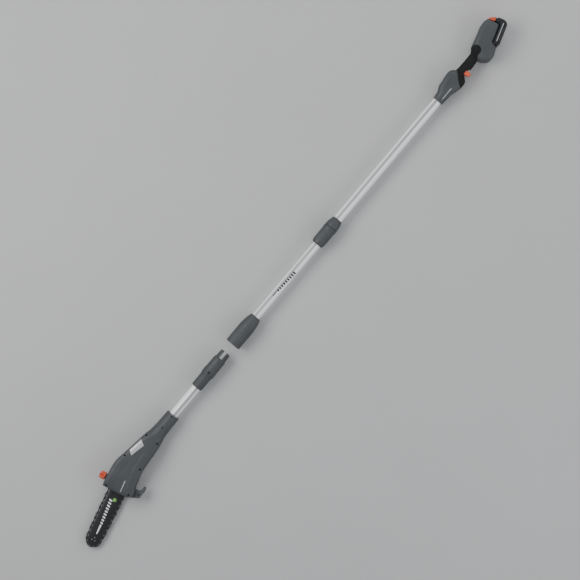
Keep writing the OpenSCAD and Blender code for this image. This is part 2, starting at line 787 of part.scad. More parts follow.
module switch_module() color(dark) lay() {
    box([1160, -10, -8], [1194, 10, 8]);
    box([1194, -2, -3], [1197, 3, 3]);
}

module control_board() color(board_green) lay() at_battery() {
    box([6, 28, -24], [56, 29.6, 24]);
    for (a = [14, 26, 38]) translate([a, 29.5, 12]) rotate([-90, 0, 0]) cylinder(h = 8, r = 4);
    box([12, 29.5, -18], [30, 34, -4]);
}

module terminal_block() color(brass) lay() at_battery() {
    box([8, 17, -12], [32, 22.5, 12]);
    for (z = [-8, 0, 8]) box([10, 9, z - 0.4], [28, 17.5, z + 0.4]);
}

module handle_wiring() color(black) lay() {
    swept(eased([[1144, 0, 0], [1150, 8, 6], [1163, 14, 10], [1185, 14, 9], [1204, 11.6, 6],
        [1230, 11.4, 4], [1270, 8, 4], [1300, 8, 6], [1326, 9, 8]], 3), 1.5, 8);
    swept(eased([[1326, 9, 8], [1333, 5, 9], [1338, -2, 9], [1344.5, -4.7, 9]], 3), 1.5, 8);
}

module trigger_pin() color(steel) lay() translate([1208, 3, -8.9]) cylinder(h = 17.8, r = 2);

trigger_outline_points = [
    [1204.2, 7.2], [1204.2, -3], [1205, -14], [1209, -22], [1214, -25.4], [1219, -24.5], [1222, -19],
    [1221, -10], [1223, -3], [1222, 5], [1216, 7.2]
];
module trigger() color(orange) lay() difference() {
    slab(-11.9, 11.9) offset(r = 0.8) offset(delta = -0.8) polygon(trigger_outline_points);
    translate([1208, 3, -20]) cylinder(h = 40, r = 2.08);
    translate([1223, 0, 0]) rod_x(-4, 5, 3.4);
}

module trigger_spring() color(steel) lay() tube_x(1219.3, 1232.5, 3, 2.2);

module lock_off_button() color(orange) lay() translate([1176, 10, -31]) {
    cylinder(h = 6.8, r = 6);
    translate([0, 0, 6.6]) cylinder(h = 2, r = 7.4);
}

// ---------------------------------------------------------------- battery

module battery_outline() polygon([
    [3, -4], [5, -10], [9, -11.5], [78, -11.5], [84, -10], [91, -3], [95, 12], [94, 26], [89, 40], [82, 50],
    [78, 52], [77.4, 40], [76.5, 16], [73, 11.4], [3, 11.4]
]);

battery_half = battery_w / 2;
cell_r = 9;
cell_at = [[14.6, -1.4], [33.4, -1.4], [52.2, -1.4], [71, -1.4], [84.6, 15]];

module battery_case() color(black) lay() at_battery() difference() {
    union() {
        slab(-battery_half, battery_half) offset(delta = -2) battery_outline();
        slab(-battery_half + 4, battery_half - 4) battery_outline();
        for (s = [-24, 24]) box([8, 10, s - 1.6], [68, 14.8, s + 1.6]);
    }
    // A bore for each cell, slots for the terminals, and room for the latch on its spring seat and two posts
    for (c = cell_at) translate([c[0], c[1], -33]) cylinder(h = 66, r = cell_r + 0.1);
    for (z = [-8, 0, 8]) box([0, 8.2, z - 1.3], [36.2, 13, z + 1.3]);
    difference() {
        box([70, 26.5, -battery_half - 1], [100, 60, battery_half + 1]);
        upright(26, 29.6, 4.6);
        for (s = [-26, 26]) translate([0, 0, s]) upright(26, 37, 3);
    }
}

// Round post on the line the latch moves along
module upright(from, to, r) translate([84, from, 0]) rotate([-90, 0, 0]) cylinder(h = to - from, r = r);

module battery_cells() color(blue) lay() at_battery()
    for (c = cell_at) translate([c[0], c[1], -32.5]) cylinder(h = 65, r = cell_r);

module battery_contacts() color(brass) lay() at_battery()
    for (z = [-8, 0, 8]) box([30.1, 8.3, z - 1.2], [36, 11.3, z + 1.2]);

module battery_latch() color(orange) lay() at_battery() {
    difference() {
        slab(-37, 37) polygon([[77.9, 32], [77.9, 52.6], [80, 55], [83, 53.4], [89, 42], [92, 32]]);
        // Room for the spring seat, the spring and the posts
        upright(31, 34.4, 5.2);
        upright(34.3, 41, 4.2);
        for (s = [-26, 26]) translate([0, 0, s]) upright(31, 42, 3.3);
    }
    slab(-8, 8) polygon([[71, 41.4], [71, 44.5], [78.5, 46], [78.5, 41.4]]);
}

module latch_spring() color(steel) lay() at_battery() translate([84, 29.7, 0]) rotate([-90, 0, 0])
    difference() {
        cylinder(h = 11, r = 3.6);
        translate([0, 0, -e]) cylinder(h = 13, r = 2.8);
    }

// ---------------------------------------------------------------- nodes

outer_tube();
collar_body();
clamp_collet();
handle_shell_left();
handle_shell_right();
grip_overmould();
switch_module();
control_board();
terminal_block();
handle_wiring();
handle_screws();
trigger_pin();
trigger_spring();
trigger();
lock_off_button();
locking_collar();
inner_tube();
inner_tube_bush();
pole_socket();
socket_contacts();
coil_cord();
coupling_sleeve();
head_spigot();
spigot_contacts();
spigot_screw();
head_tube();
head_cable();
head_shell_left();
head_shell_right();
side_plate();
head_screws();
motor_can();
gear_housing();
shaft_bearings();
oil_tank();
oil_pump();
oil_line();
bumper_teeth();
bar_stud();
chain_catcher();
sprocket_cover();
oil_cap();
oil_cap_seal();
motor_shaft();
rotor_core();
drive_shaft();
crown_gear();
drive_sprocket();
guide_bar();
saw_chain();
tension_block();
tension_screw();
nose_sprocket();
bar_nut();
battery_case();
battery_cells();
battery_contacts();
battery_latch();
latch_spring();
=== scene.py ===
import json
from math import asin, atan2, ceil, cos, dist, pi, radians, sin

import bpy
import bmesh
from mathutils import Matrix, Vector
from mathutils.bvhtree import BVHTree


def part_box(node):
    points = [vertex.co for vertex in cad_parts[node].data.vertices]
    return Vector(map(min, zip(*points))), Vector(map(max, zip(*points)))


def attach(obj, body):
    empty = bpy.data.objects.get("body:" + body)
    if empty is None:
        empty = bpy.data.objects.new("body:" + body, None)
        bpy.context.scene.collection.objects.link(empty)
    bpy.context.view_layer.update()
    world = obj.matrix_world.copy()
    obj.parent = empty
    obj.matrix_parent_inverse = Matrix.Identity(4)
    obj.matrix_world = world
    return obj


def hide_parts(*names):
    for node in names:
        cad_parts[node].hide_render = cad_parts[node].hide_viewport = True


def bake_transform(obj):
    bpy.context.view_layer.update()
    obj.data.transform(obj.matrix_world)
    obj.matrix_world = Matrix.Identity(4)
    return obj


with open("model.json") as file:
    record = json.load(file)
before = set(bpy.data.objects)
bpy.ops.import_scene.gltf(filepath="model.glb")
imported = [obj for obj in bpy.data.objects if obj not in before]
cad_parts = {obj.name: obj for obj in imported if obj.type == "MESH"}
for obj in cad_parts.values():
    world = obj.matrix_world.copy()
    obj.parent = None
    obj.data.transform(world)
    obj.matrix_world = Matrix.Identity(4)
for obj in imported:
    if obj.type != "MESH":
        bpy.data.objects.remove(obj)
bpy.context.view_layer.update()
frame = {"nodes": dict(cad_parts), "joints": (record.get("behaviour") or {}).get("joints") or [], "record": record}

# ---- places
# Every piece is built in millimetres in one of the tool's own frames, and a place matrix
# takes it to the row's frame in metres.

MM = 0.001
FORK_TIP = 94.0                     # head x of the fork's tip
BATTERY_AT = Vector((1345, -30, 0))  # pole frame, where the battery's slide starts
CAP_AT = Vector((-490, 40, 6))      # head frame, on the oil filler's mouth


def middle(node):
    low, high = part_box(node)
    return (low + high) / 2


def axis_of(joint):
    return Vector(next(j["axis"] for j in frame["joints"] if j["name"] == joint)).normalized()


def place(origin, x_axis=(1, 0, 0), z_axis=(0, 0, 1)):
    x, z = Vector(x_axis), Vector(z_axis)
    matrix = Matrix((x, z.cross(x), z)).transposed().to_4x4()
    matrix.translation = origin
    return matrix @ Matrix.Scale(MM, 4)


pole_at = middle("coupling_sleeve")
pole_at.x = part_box("coupling_sleeve")[0].x
head_at = pole_at.copy()
head_at.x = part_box("head_spigot")[1].x - FORK_TIP * MM
bar_at = middle("drive_shaft")
bar_at.z = pole_at.z

POLE = place(pole_at)
HEAD = place(head_at)
BAR = place(bar_at, axis_of("bar_tension"))
BATTERY = place(POLE @ BATTERY_AT, axis_of("battery_slide"))
cap_axis = axis_of("oil_cap_twist")
CAP = place(HEAD @ CAP_AT, (cap_axis.y, -cap_axis.x, 0), cap_axis)

# ---- materials


class Shader:
    """A Principled material whose colour, roughness and bump come from object coordinates."""

    def __init__(self, name, metallic=0.0, specular=0.5, coat=0.0):
        self.material = bpy.data.materials.new(name)
        self.material.use_nodes = True
        self.tree = self.material.node_tree
        self.principled = self.tree.nodes["Principled BSDF"]
        self.principled.inputs["Metallic"].default_value = metallic
        self.principled.inputs["Specular IOR Level"].default_value = specular
        self.principled.inputs["Coat Weight"].default_value = coat
        self.coords = self.tree.nodes.new("ShaderNodeTexCoord").outputs["Object"]

    def link(self, output, target):
        self.tree.links.new(output, target)

    def node(self, kind, values=(), links=()):
        """A new node with its sockets set to numbers or linked to outputs."""
        node = self.tree.nodes.new(f"ShaderNode{kind}")
        for socket, value in dict(values).items():
            node.inputs[socket].default_value = value
        for socket, output in dict(links).items():
            self.link(output, node.inputs[socket])
        return node

    def noise(self, scale, detail=3.0, stretch=None, roughness=0.55):
        at = self.coords
        if stretch:
            at = self.node("Mapping", {"Scale": stretch}, {"Vector": at}).outputs["Vector"]
        values = {"Scale": scale, "Detail": detail, "Roughness": roughness}
        return self.node("TexNoise", values, {"Vector": at}).outputs["Fac"]

    def cells(self, scale):
        return self.node("TexVoronoi", {"Scale": scale}, {"Vector": self.coords}).outputs["Distance"]

    def ranged(self, value, low, high, to_low=0.0, to_high=1.0):
        limits = {"From Min": low, "From Max": high, "To Min": to_low, "To Max": to_high}
        return self.node("MapRange", limits, {"Value": value}).outputs["Result"]

    def maths(self, operation, a, b):
        node = self.node("Math", links={0: a, 1: b})
        node.operation = operation
        return node.outputs["Value"]

    def times(self, a, b):
        return self.maths("MULTIPLY", a, b)

    def mixed(self, factor, a, b):
        node = self.node("Mix")
        node.data_type = "RGBA"
        self.link(factor, node.inputs["Factor"])
        for socket, colour in ((node.inputs[6], a), (node.inputs[7], b)):
            if isinstance(colour, tuple):
                socket.default_value = (*colour, 1)
            else:
                self.link(colour, socket)
        return node.outputs[2]

    def edges(self, low=0.505, high=0.56):
        return self.ranged(self.node("NewGeometry").outputs["Pointiness"], low, high)

    def colour(self, output):
        self.link(output, self.principled.inputs["Base Color"])

    def rough(self, output):
        self.link(output, self.principled.inputs["Roughness"])

    def bump(self, height, strength, distance=0.0004, under=None):
        links = {"Height": height} if under is None else {"Height": height, "Normal": under}
        normal = self.node("Bump", {"Strength": strength, "Distance": distance}, links).outputs["Normal"]
        self.link(normal, self.principled.inputs["Normal"])
        return normal


def shade(colour, factor):
    return tuple(min(1.0, c * factor) for c in colour)


def moulded(name, colour, rough=0.5, grain=1500, grain_depth=0.35, wear_and_rim_highlight=0.5, coat=0.0, specular=0.45):
    """Injection-moulded plastic: spark-eroded grain, slight mottling, edges made paler, partly as rubbed wear and
    partly as a painted highlight along the rims.
    """
    s = Shader(name, specular=specular, coat=coat)
    mottled = s.mixed(s.ranged(s.noise(14, 4), 0.3, 0.7), shade(colour, 0.86), shade(colour, 1.12))
    dusty = s.mixed(s.ranged(s.noise(70, 6, roughness=0.7), 0.56, 0.78, 0, 0.22), mottled, shade(colour, 1.7))
    # Painted highlight: convex edges are mixed paler, partly as rubbed wear and partly as a bright rim of light.
    rubbed_and_highlit_rims = s.times(s.edges(), s.ranged(s.noise(160, 4), 0.35, 0.65, 0.15, wear_and_rim_highlight))
    s.colour(s.mixed(rubbed_and_highlit_rims, dusty, shade(colour, 2.3)))
    s.rough(s.ranged(s.noise(55, 5), 0.25, 0.75, rough - 0.08, rough + 0.12))
    fine = s.bump(s.cells(grain), grain_depth * 0.5, 0.0002)
    s.bump(s.noise(grain * 0.7, 2), grain_depth, 0.0002, under=fine)
    return s.material


def metal(name, colour, rough=0.3, stretch=(3, 260, 260), scratch=0.1, metallic=1.0, dull=0.75):
    """Metal with a grain drawn along one direction, faint scratches and duller patches."""
    s = Shader(name, metallic=metallic)
    drawn = s.noise(6, 5, stretch=stretch, roughness=0.6)
    toned = s.mixed(s.ranged(drawn, 0.3, 0.7), shade(colour, 0.84), shade(colour, 1.1))
    s.colour(s.mixed(s.ranged(s.noise(38, 6, roughness=0.7), 0.58, 0.8, 0, 0.3), toned, shade(colour, dull)))
    s.rough(s.ranged(drawn, 0.25, 0.75, rough - 0.06, rough + 0.12))
    s.bump(drawn, scratch, 0.0002)
    return s.material


def drawn_tube():
    """Satin anodised tube: nearly white, with fine lines along it and, beside its middle, one greyer stripe that
    is a painted reflection of a dark strip.
    """
    bright, painted_reflection_grey = (0.93, 0.93, 0.94), (0.30, 0.30, 0.31)
    s = Shader("aluminium_tube", metallic=0.08)
    lines = s.noise(5, 6, stretch=(0.6, 420, 420), roughness=0.65)
    split = s.node("SeparateXYZ", links={"Vector": s.coords})
    # The painted reflection lies on one side of the middle on the pole, and on the other on the saw head's tube
    across = s.maths("ADD", split.outputs["Y"],
                     s.ranged(split.outputs["X"], head_at.x, head_at.x + 0.001, 0.0076, 0))
    low, high = pole_at.y - 0.0016, pole_at.y + 0.0092
    inside = s.times(s.ranged(across, low, low + 0.002), s.ranged(across, high, high - 0.002))
    above = s.ranged(split.outputs["Z"], pole_at.z + 0.004, pole_at.z + 0.006)
    # Painted reflection: where this mask is 1, the tube's colour turns to the greyer stripe on its upper side.
    key = s.times(s.times(inside, above), s.ranged(lines, 0.3, 0.6, 0.75, 1.0))
    toned = s.mixed(s.ranged(lines, 0.3, 0.7), shade(bright, 0.94), shade(bright, 1.06))
    scuffed = s.mixed(s.ranged(s.noise(60, 6, stretch=(1, 3, 3), roughness=0.75), 0.6, 0.85, 0, 0.3), toned,
                      shade(bright, 0.5))
    s.colour(s.mixed(key, scuffed, painted_reflection_grey))
    s.rough(s.ranged(lines, 0.25, 0.75, 0.3, 0.46))
    s.bump(lines, 0.08, 0.0002)
    return s.material


def soft_rubber():
    """Overmould: very dark, matt, with a pebbled skin; edges and high spots are painted paler, partly as rubbed
    wear and partly as a painted highlight.
    """
    colour = (0.0075, 0.0075, 0.008)
    s = Shader("black_rubber", specular=0.22)
    mottled = s.mixed(s.ranged(s.noise(24, 4), 0.3, 0.7), shade(colour, 0.8), shade(colour, 1.35))
    # Painted highlight: edges are mixed up to 4.5 times paler, partly as rubbed wear and partly as a bright rim of
    # light.
    s.colour(s.mixed(s.times(s.edges(0.51, 0.57), s.ranged(s.noise(90, 3), 0.3, 0.7, 0.2, 0.7)), mottled,
                     shade(colour, 4.5)))
    s.rough(s.ranged(s.noise(48, 5), 0.3, 0.7, 0.55, 0.8))
    s.bump(s.cells(900), 0.5, 0.0004)
    return s.material


def circuit_board():
    s = Shader("board", specular=0.5, coat=0.2)
    mask = s.mixed(s.ranged(s.noise(30, 3), 0.35, 0.65), (0.012, 0.075, 0.03), (0.02, 0.12, 0.05))
    tracks = s.ranged(s.noise(240, 1, stretch=(1, 4, 1)), 0.52, 0.56, 0, 0.5)
    s.colour(s.mixed(tracks, mask, (0.03, 0.2, 0.08)))
    s.rough(s.ranged(s.noise(120, 3), 0.3, 0.7, 0.25, 0.4))
    s.bump(tracks, 0.2, 0.0001)
    return s.material


def dark_chain():
    """Oiled dark chain, mottled, with faint rubbed spots."""
    s = Shader("chain_steel", metallic=0.85)
    grain = s.noise(260, 4)
    body = s.mixed(s.ranged(grain, 0.35, 0.65), (0.030, 0.030, 0.031), (0.075, 0.075, 0.078))
    s.colour(s.mixed(s.ranged(s.noise(420, 4), 0.62, 0.72, 0, 0.5), body, (0.35, 0.35, 0.36)))
    s.rough(s.ranged(grain, 0.3, 0.7, 0.26, 0.44))
    s.bump(grain, 0.15, 0.0002)
    return s.material


def winding():
    s = Shader("copper_winding", metallic=0.6)
    wires = s.noise(9, 3, stretch=(4, 150, 150))
    s.colour(s.mixed(s.ranged(wires, 0.35, 0.65), (0.30, 0.11, 0.05), (0.66, 0.30, 0.14)))
    s.rough(s.ranged(wires, 0.3, 0.7, 0.25, 0.45))
    s.bump(wires, 0.6, 0.0005)
    return s.material


MATERIALS = {
    "aluminium_tube": drawn_tube(),
    "grey_plastic": moulded("grey_plastic", (0.049, 0.055, 0.058), rough=0.5),
    "black_plastic": moulded("black_plastic", (0.011, 0.0115, 0.0125), rough=0.42, wear_and_rim_highlight=0.9, specular=0.35),
    "black_rubber": soft_rubber(),
    "orange_plastic": moulded("orange_plastic", (0.60, 0.085, 0.035), rough=0.4, wear_and_rim_highlight=0.25, coat=0.1),
    "cloudy_plastic": moulded("cloudy_plastic", (0.55, 0.53, 0.46), rough=0.38, wear_and_rim_highlight=0.1),
    "steel": metal("steel", (0.50, 0.50, 0.51), rough=0.33),
    "black_steel": metal("black_steel", (0.030, 0.030, 0.032), rough=0.4, stretch=(40, 40, 40), metallic=0.5,
                         dull=2.2),
    "chain_steel": dark_chain(),
    "black_paint": metal("black_paint", (0.012, 0.012, 0.013), rough=0.36, stretch=(4, 90, 90), metallic=0.15,
                         dull=3.0),
    "cast_alloy": metal("cast_alloy", (0.46, 0.46, 0.47), rough=0.45, stretch=(50, 50, 50), scratch=0.3),
    "silver_plate": metal("silver_plate", (0.56, 0.56, 0.57), rough=0.34, stretch=(180, 8, 8), metallic=0.55),
    "brass": metal("brass", (0.72, 0.52, 0.22), rough=0.28, stretch=(20, 90, 90)),
    "copper_winding": winding(),
    "board": circuit_board(),
    "cell_wrap": moulded("cell_wrap", (0.03, 0.10, 0.32), rough=0.3, grain=400, grain_depth=0.1, coat=0.4),
}

# ---- plane shapes


def rounded(points, radius, steps=4, closed=True):
    """The polyline with each corner eased by a short curve."""
    points = [Vector(p) for p in points]
    count, out = len(points), []
    for i, corner in enumerate(points):
        if not closed and i in (0, count - 1):
            out.append(corner)
            continue
        before, after = points[i - 1] - corner, points[(i + 1) % count] - corner
        reach = min(radius, 0.45 * before.length, 0.45 * after.length)
        start, end = corner + before.normalized() * reach, corner + after.normalized() * reach
        for k in range(steps + 1):
            t = k / steps
            out.append(start * (1 - t) ** 2 + corner * 2 * t * (1 - t) + end * t ** 2)
    return out


def dense(points, step, closed=False):
    """The polyline with long stretches divided."""
    points = [Vector(p) for p in points]
    out = []
    for a, b in zip(points, points[1:] + (points[:1] if closed else [])):
        pieces = max(1, ceil((b - a).length / step))
        out += [a.lerp(b, k / pieces) for k in range(pieces)]
    return out if closed else out + [points[-1]]


def area(outline):
    return sum(a.x * b.y - b.x * a.y for a, b in zip(outline, outline[1:] + outline[:1])) / 2


def inset(outline, depth):
    """The closed outline moved inwards (outwards if depth is negative), counter-clockwise outlines only."""
    out = []
    for i, p in enumerate(outline):
        a, b = (p - outline[i - 1]).normalized(), (outline[(i + 1) % len(outline)] - p).normalized()
        normal = Vector((-(a.y + b.y), a.x + b.x))
        if normal.length < 1e-6:
            normal = Vector((-a.y, a.x))
        normal.normalize()
        lean = max(0.4, normal.dot(Vector((-a.y, a.x))))
        out.append(p + normal * (depth / lean))
    return out


def arc(centre, radius, start, end, steps):
    turn = [radians(start + (end - start) * k / steps) for k in range(steps + 1)]
    return [Vector((centre[0] + radius * cos(a), centre[1] + radius * sin(a))) for a in turn]


# ---- solids, each as (points, faces)


def skin(rings, closed_ring=True, cap_start=True, cap_end=True):
    """Quads between rings of equal length, and a face on each end."""
    size = len(rings[0])
    points = [p for ring in rings for p in ring]
    last = size if closed_ring else size - 1
    faces = []
    for r in range(len(rings) - 1):
        for k in range(last):
            n = (k + 1) % size
            faces.append((r * size + k, r * size + n, (r + 1) * size + n, (r + 1) * size + k))
    if cap_start:
        faces.append(tuple(reversed(range(size))))
    if cap_end:
        faces.append(tuple(range((len(rings) - 1) * size, len(rings) * size)))
    return points, faces


def plate(outline, z0, z1, fillet, steps=3, low_fillet=None):
    """An outline given thickness, with its rims rounded."""
    outline = [Vector(p) for p in outline]
    if area(outline) < 0:
        outline = list(reversed(outline))
    low = fillet if low_fillet is None else low_fillet
    turns = [radians(90 * k / steps) for k in range(steps + 1)]
    levels = [(low * (1 - sin(a)), z0 + low * (1 - cos(a))) for a in turns]
    levels += [(fillet * (1 - cos(a)), z1 - fillet * (1 - sin(a))) for a in turns]
    return skin([[(p.x, p.y, z) for p in inset(outline, shrink)] for shrink, z in levels])


def lathe(profile, sides=96, shape=None, closed=True):
    """A profile of (x, radius) turned about the local X axis; shape(x, angle, radius) is added to it."""
    rings = []
    for i in range(sides):
        angle = 2 * pi * i / sides
        ring = []
        for x, radius in profile:
            r = radius + (shape(x, angle, radius) if shape else 0)
            ring.append((x, r * cos(angle), r * sin(angle)))
        rings.append(ring)
    rings.append(rings[0])
    return skin(rings, closed_ring=closed, cap_start=False, cap_end=False)


def drum(x, y, z0, z1, radius, sides=32, chamfer=0.0):
    """An upright round post with an optional chamfer on top."""
    levels = [(z0, radius), (z1 - chamfer, radius)] + ([(z1, radius - chamfer)] if chamfer else [])
    turn = [2 * pi * k / sides for k in range(sides)]
    return skin([[(x + r * cos(a), y + r * sin(a), z) for a in turn] for z, r in levels])


def block(low, high):
    (x0, y0, z0), (x1, y1, z1) = low, high
    return skin([[(x0, y0, z), (x1, y0, z), (x1, y1, z), (x0, y1, z)] for z in (z0, z1)])


def swept(path, radius, sides=8):
    """A round section carried along a path."""
    path = [Vector(p) for p in path]
    rings, side = [], None
    for i, p in enumerate(path):
        ahead = (path[min(i + 1, len(path) - 1)] - path[max(i - 1, 0)]).normalized()
        if side is None:
            side = ahead.orthogonal().normalized()
        side = (side - ahead * side.dot(ahead)).normalized()
        up = ahead.cross(side)
        turns = (2 * pi * k / sides for k in range(sides))
        rings.append([p + (side * cos(a) + up * sin(a)) * radius for a in turns])
    return skin(rings)


TO_UP = Matrix.Rotation(radians(-90), 4, "Y")       # takes a lathe's axis to Z
TO_DOWN = Matrix.Rotation(radians(90), 4, "Y")      # and to minus Z
TO_Y = Matrix.Rotation(radians(90), 4, "Z")


def span(side, near, far):
    """A range of depths on the left side, or on the right."""
    return sorted((side * near, side * far))


def together(*solids):
    points, faces = [], []
    for solid_points, solid_faces in solids:
        base = len(points)
        points += list(solid_points)
        faces += [tuple(base + k for k in face) for face in solid_faces]
    return points, faces


def moved(solid, matrix):
    return [matrix @ Vector(p) for p in solid[0]], solid[1]


# ---- lofted housings
# A station holds the points where the top and bottom seams are, then the depth and the corner radius
# on the left and on the right: (top x, top y, bottom x, bottom y, left, right, left r, right r).


def eased_rows(table, count):
    """Rows interpolated smoothly between stations, without overshoot."""
    at = [0.0]
    for a, b in zip(table, table[1:]):
        at.append(at[-1] + 0.5 * (dist(a[:2], b[:2]) + dist(a[2:4], b[2:4])) + 0.01)
    slopes = []
    for c in range(len(table[0])):
        d = [(table[i + 1][c] - table[i][c]) / (at[i + 1] - at[i]) for i in range(len(table) - 1)]
        m = [d[0]] + [0 if d[i - 1] * d[i] <= 0 else 2 * d[i - 1] * d[i] / (d[i - 1] + d[i])
                      for i in range(1, len(d))] + [d[-1]]
        slopes.append(m)
    spots = sorted({at[-1] * k / (count - 1) for k in range(count)} | set(at))
    rows, i = [], 0
    for spot in spots:
        while i < len(table) - 2 and spot > at[i + 1]:
            i += 1
        gap = at[i + 1] - at[i]
        t = (spot - at[i]) / gap
        h = (2 * t ** 3 - 3 * t ** 2 + 1, t ** 3 - 2 * t ** 2 + t, -2 * t ** 3 + 3 * t ** 2, t ** 3 - t ** 2)
        rows.append([h[0] * here + h[1] * gap * slope[i] + h[2] * there + h[3] * gap * slope[i + 1]
                     for here, there, slope in zip(table[i], table[i + 1], slopes)])
    return rows


def half_ring(row, side, grow=0.0, shift=Vector((0, 0)), crown=1.0, seam=0.35, relief=None, rungs=5, bend=9,
              top=36):
    """From the top seam over one side to the bottom seam, as a rounded rectangle with a crowned face."""
    head, foot = Vector(row[0:2]), Vector(row[2:4])
    up = (head - foot).normalized()
    centre = (head + foot) / 2 + shift
    half = (head - foot).length / 2 + grow
    depth = (row[4] if side > 0 else row[5]) + grow
    radius = min(max((row[6] if side > 0 else row[7]) + grow, 0.5), half * 0.999, depth)
    rise = max(depth - radius - seam * 1.5, 0.0)
    spots = [(half - seam, 0.0)] + [(half, min(seam * 1.5, depth - radius) + rise * k / rungs)
                                    for k in range(rungs)]
    for k in range(bend + 1):
        a = radians(90 * k / bend)
        spots.append((half - radius + radius * cos(a), depth - radius + radius * sin(a)))
    flat = half - radius
    spots += [(flat - 2 * flat * k / top, depth) for k in range(1, top // 2 + 1)]
    spots += [(-v, z) for v, z in reversed(spots[:-1])]
    out = []
    for v, z in spots:
        share = max(0.0, min(1.0, (z - depth + radius) / radius)) if radius > 0 else 1.0
        z = max(z + crown * share * (1 - (v / half) ** 2) - crown * share, 0.0)
        flat_point = centre + up * v
        if relief:
            z += relief(flat_point.x, flat_point.y, v, half) * share
        out.append(Vector((flat_point.x, flat_point.y, side * z)))
    return out


def end_rings(row, side, ahead, fillet, hole, grow=0.0, back=0.0, steps=4, **options):
    """Rings that turn a lofted end inwards, down to a round hole or to nothing."""
    rings = []
    for k in range(1, steps + 1):
        a = radians(90 * k / steps)
        rings.append(half_ring(row, side, grow=grow - fillet * (1 - cos(a)),
                               shift=ahead * (fillet * sin(a) - back), **options))
    last = rings[-1]
    centre = (Vector(row[0:2]) + Vector(row[2:4])) / 2 + ahead * (fillet - back)
    up = (Vector(row[0:2]) - Vector(row[2:4])).normalized()
    aim = []
    for p in last:
        a = atan2(abs(p.z), (p.to_2d() - centre).dot(up))
        aim.append(Vector((*(centre + up * hole * cos(a)), side * hole * sin(a))))
    return rings + [[p.lerp(q, t) for p, q in zip(last, aim)] for t in (0.3, 0.65, 1.0)]


def lane(rows, side, start, end, start_hole, end_hole, grow, wall, **options):
    """The rings of one half, for the outside or, with a wall, for the inside."""
    middles = [(Vector(row[0:2]) + Vector(row[2:4])) / 2 for row in rows]
    first, final = (middles[0] - middles[1]).normalized(), (middles[-1] - middles[-2]).normalized()
    fillets = [max(fillet - wall, 0.4) if wall else fillet for fillet in (start, end)]
    backs = [wall - fillet + inner if wall else 0.0 for fillet, inner in zip((start, end), fillets)]
    body = []
    options["grow"] = grow - wall
    for row, centre in zip(rows, middles):
        shift = Vector((0, 0))
        for way, back, tip in ((first, backs[0], middles[0]), (final, backs[1], middles[-1])):
            if back:
                shift -= way * back * max(0.0, 1 - (centre - tip).length / (3 * back))
        body.append(half_ring(row, side, shift=shift, **options))
    before = end_rings(rows[0], side, first, fillets[0], start_hole, back=backs[0], **options)
    after = end_rings(rows[-1], side, final, fillets[1], end_hole, back=backs[1], **options)
    return before[::-1] + body + after


def loft(rows, sides=(1,), start=3.0, end=3.0, start_hole=0.0, end_hole=0.0, grow=0.0, wall=0.0, **options):
    """A housing from interpolated rows: one hollow half, or both as a closed skin.

    With a wall, both together give the cavity inside that skin.
    """
    ends = (start, end, start_hole, end_hole, grow)
    if len(sides) == 1:
        outer, inner = (lane(rows, sides[0], *ends, depth, **options) for depth in (0.0, wall))
        points, faces = skin([out + within[::-1] for out, within in zip(outer, inner)], cap_start=False,
                             cap_end=False)
        half, base = len(outer[0]), len(points) - 2 * len(outer[0])
        for k in range(half - 1):
            strip = (k, k + 1, 2 * half - 2 - k, 2 * half - 1 - k)
            faces += [strip, tuple(base + i for i in reversed(strip))]
        return points, faces
    left, right = (lane(rows, side, *ends, wall, **options) for side in sides)
    return skin([a + b[::-1] for a, b in zip(left, right)], cap_start=False, cap_end=False)


def smoothstep(low, high, x):
    t = max(0.0, min(1.0, (x - low) / (high - low)))
    return t * t * (3 - 2 * t)


def zone(x, low, low_full, high_full, high):
    """1 between the two inner values and 0 beyond the outer ones."""
    return smoothstep(low, low_full, x) * smoothstep(high, high_full, x)


# ---- making pieces


def finish_mesh(obj, sharp):
    bm = bmesh.new()
    bm.from_mesh(obj.data)
    bmesh.ops.remove_doubles(bm, verts=bm.verts, dist=2e-6)
    bmesh.ops.dissolve_degenerate(bm, edges=bm.edges, dist=1e-6)
    bmesh.ops.recalc_face_normals(bm, faces=bm.faces)
    bm.to_mesh(obj.data)
    bm.free()
    obj.data.shade_smooth()
    obj.data.set_sharp_from_angle(angle=radians(sharp))


def raw(name, solid, at):
    mesh = bpy.data.meshes.new(name)
    mesh.from_pydata([at @ Vector(p) for p in solid[0]], [], solid[1])
    obj = bpy.data.objects.new(name, mesh)
    bpy.context.scene.collection.objects.link(obj)
    return obj


def settle(obj):
    """Applies the modifiers."""
    evaluated = obj.evaluated_get(bpy.context.evaluated_depsgraph_get())
    mesh = bpy.data.meshes.new_from_object(evaluated)
    obj.modifiers.clear()
    obj.data = mesh


def carve(obj, solid, at, operation="DIFFERENCE"):
    """Cuts a solid out of a piece, or keeps only what lies in it."""
    tool = raw("tool", solid, at)
    finish_mesh(tool, 30)
    modifier = obj.modifiers.new("carve", "BOOLEAN")
    modifier.operation = operation
    modifier.solver = "EXACT"
    modifier.object = tool
    settle(obj)
    bpy.data.objects.remove(tool)


def piece(name, solid, at, slot, body, stands_for=(), cuts=(), keep=None, sharp=38, bevel=0.0):
    obj = raw(name, solid, at)
    finish_mesh(obj, sharp)
    if keep:
        carve(obj, keep, at, "INTERSECT")
    for cut in cuts:
        carve(obj, cut, at)
    finish_mesh(obj, sharp)
    obj.data.materials.clear()
    obj.data.materials.append(MATERIALS[slot])
    if bevel:
        soften(obj, bevel)
    if stands_for:
        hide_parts(*stands_for)
    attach(obj, body)
    return obj


def soften(obj, width):
    modifier = obj.modifiers.new("edge", "BEVEL")
    modifier.width = width * MM
    modifier.segments = 2
    modifier.limit_method = "ANGLE"
    modifier.angle_limit = radians(38)
    modifier.harden_normals = False


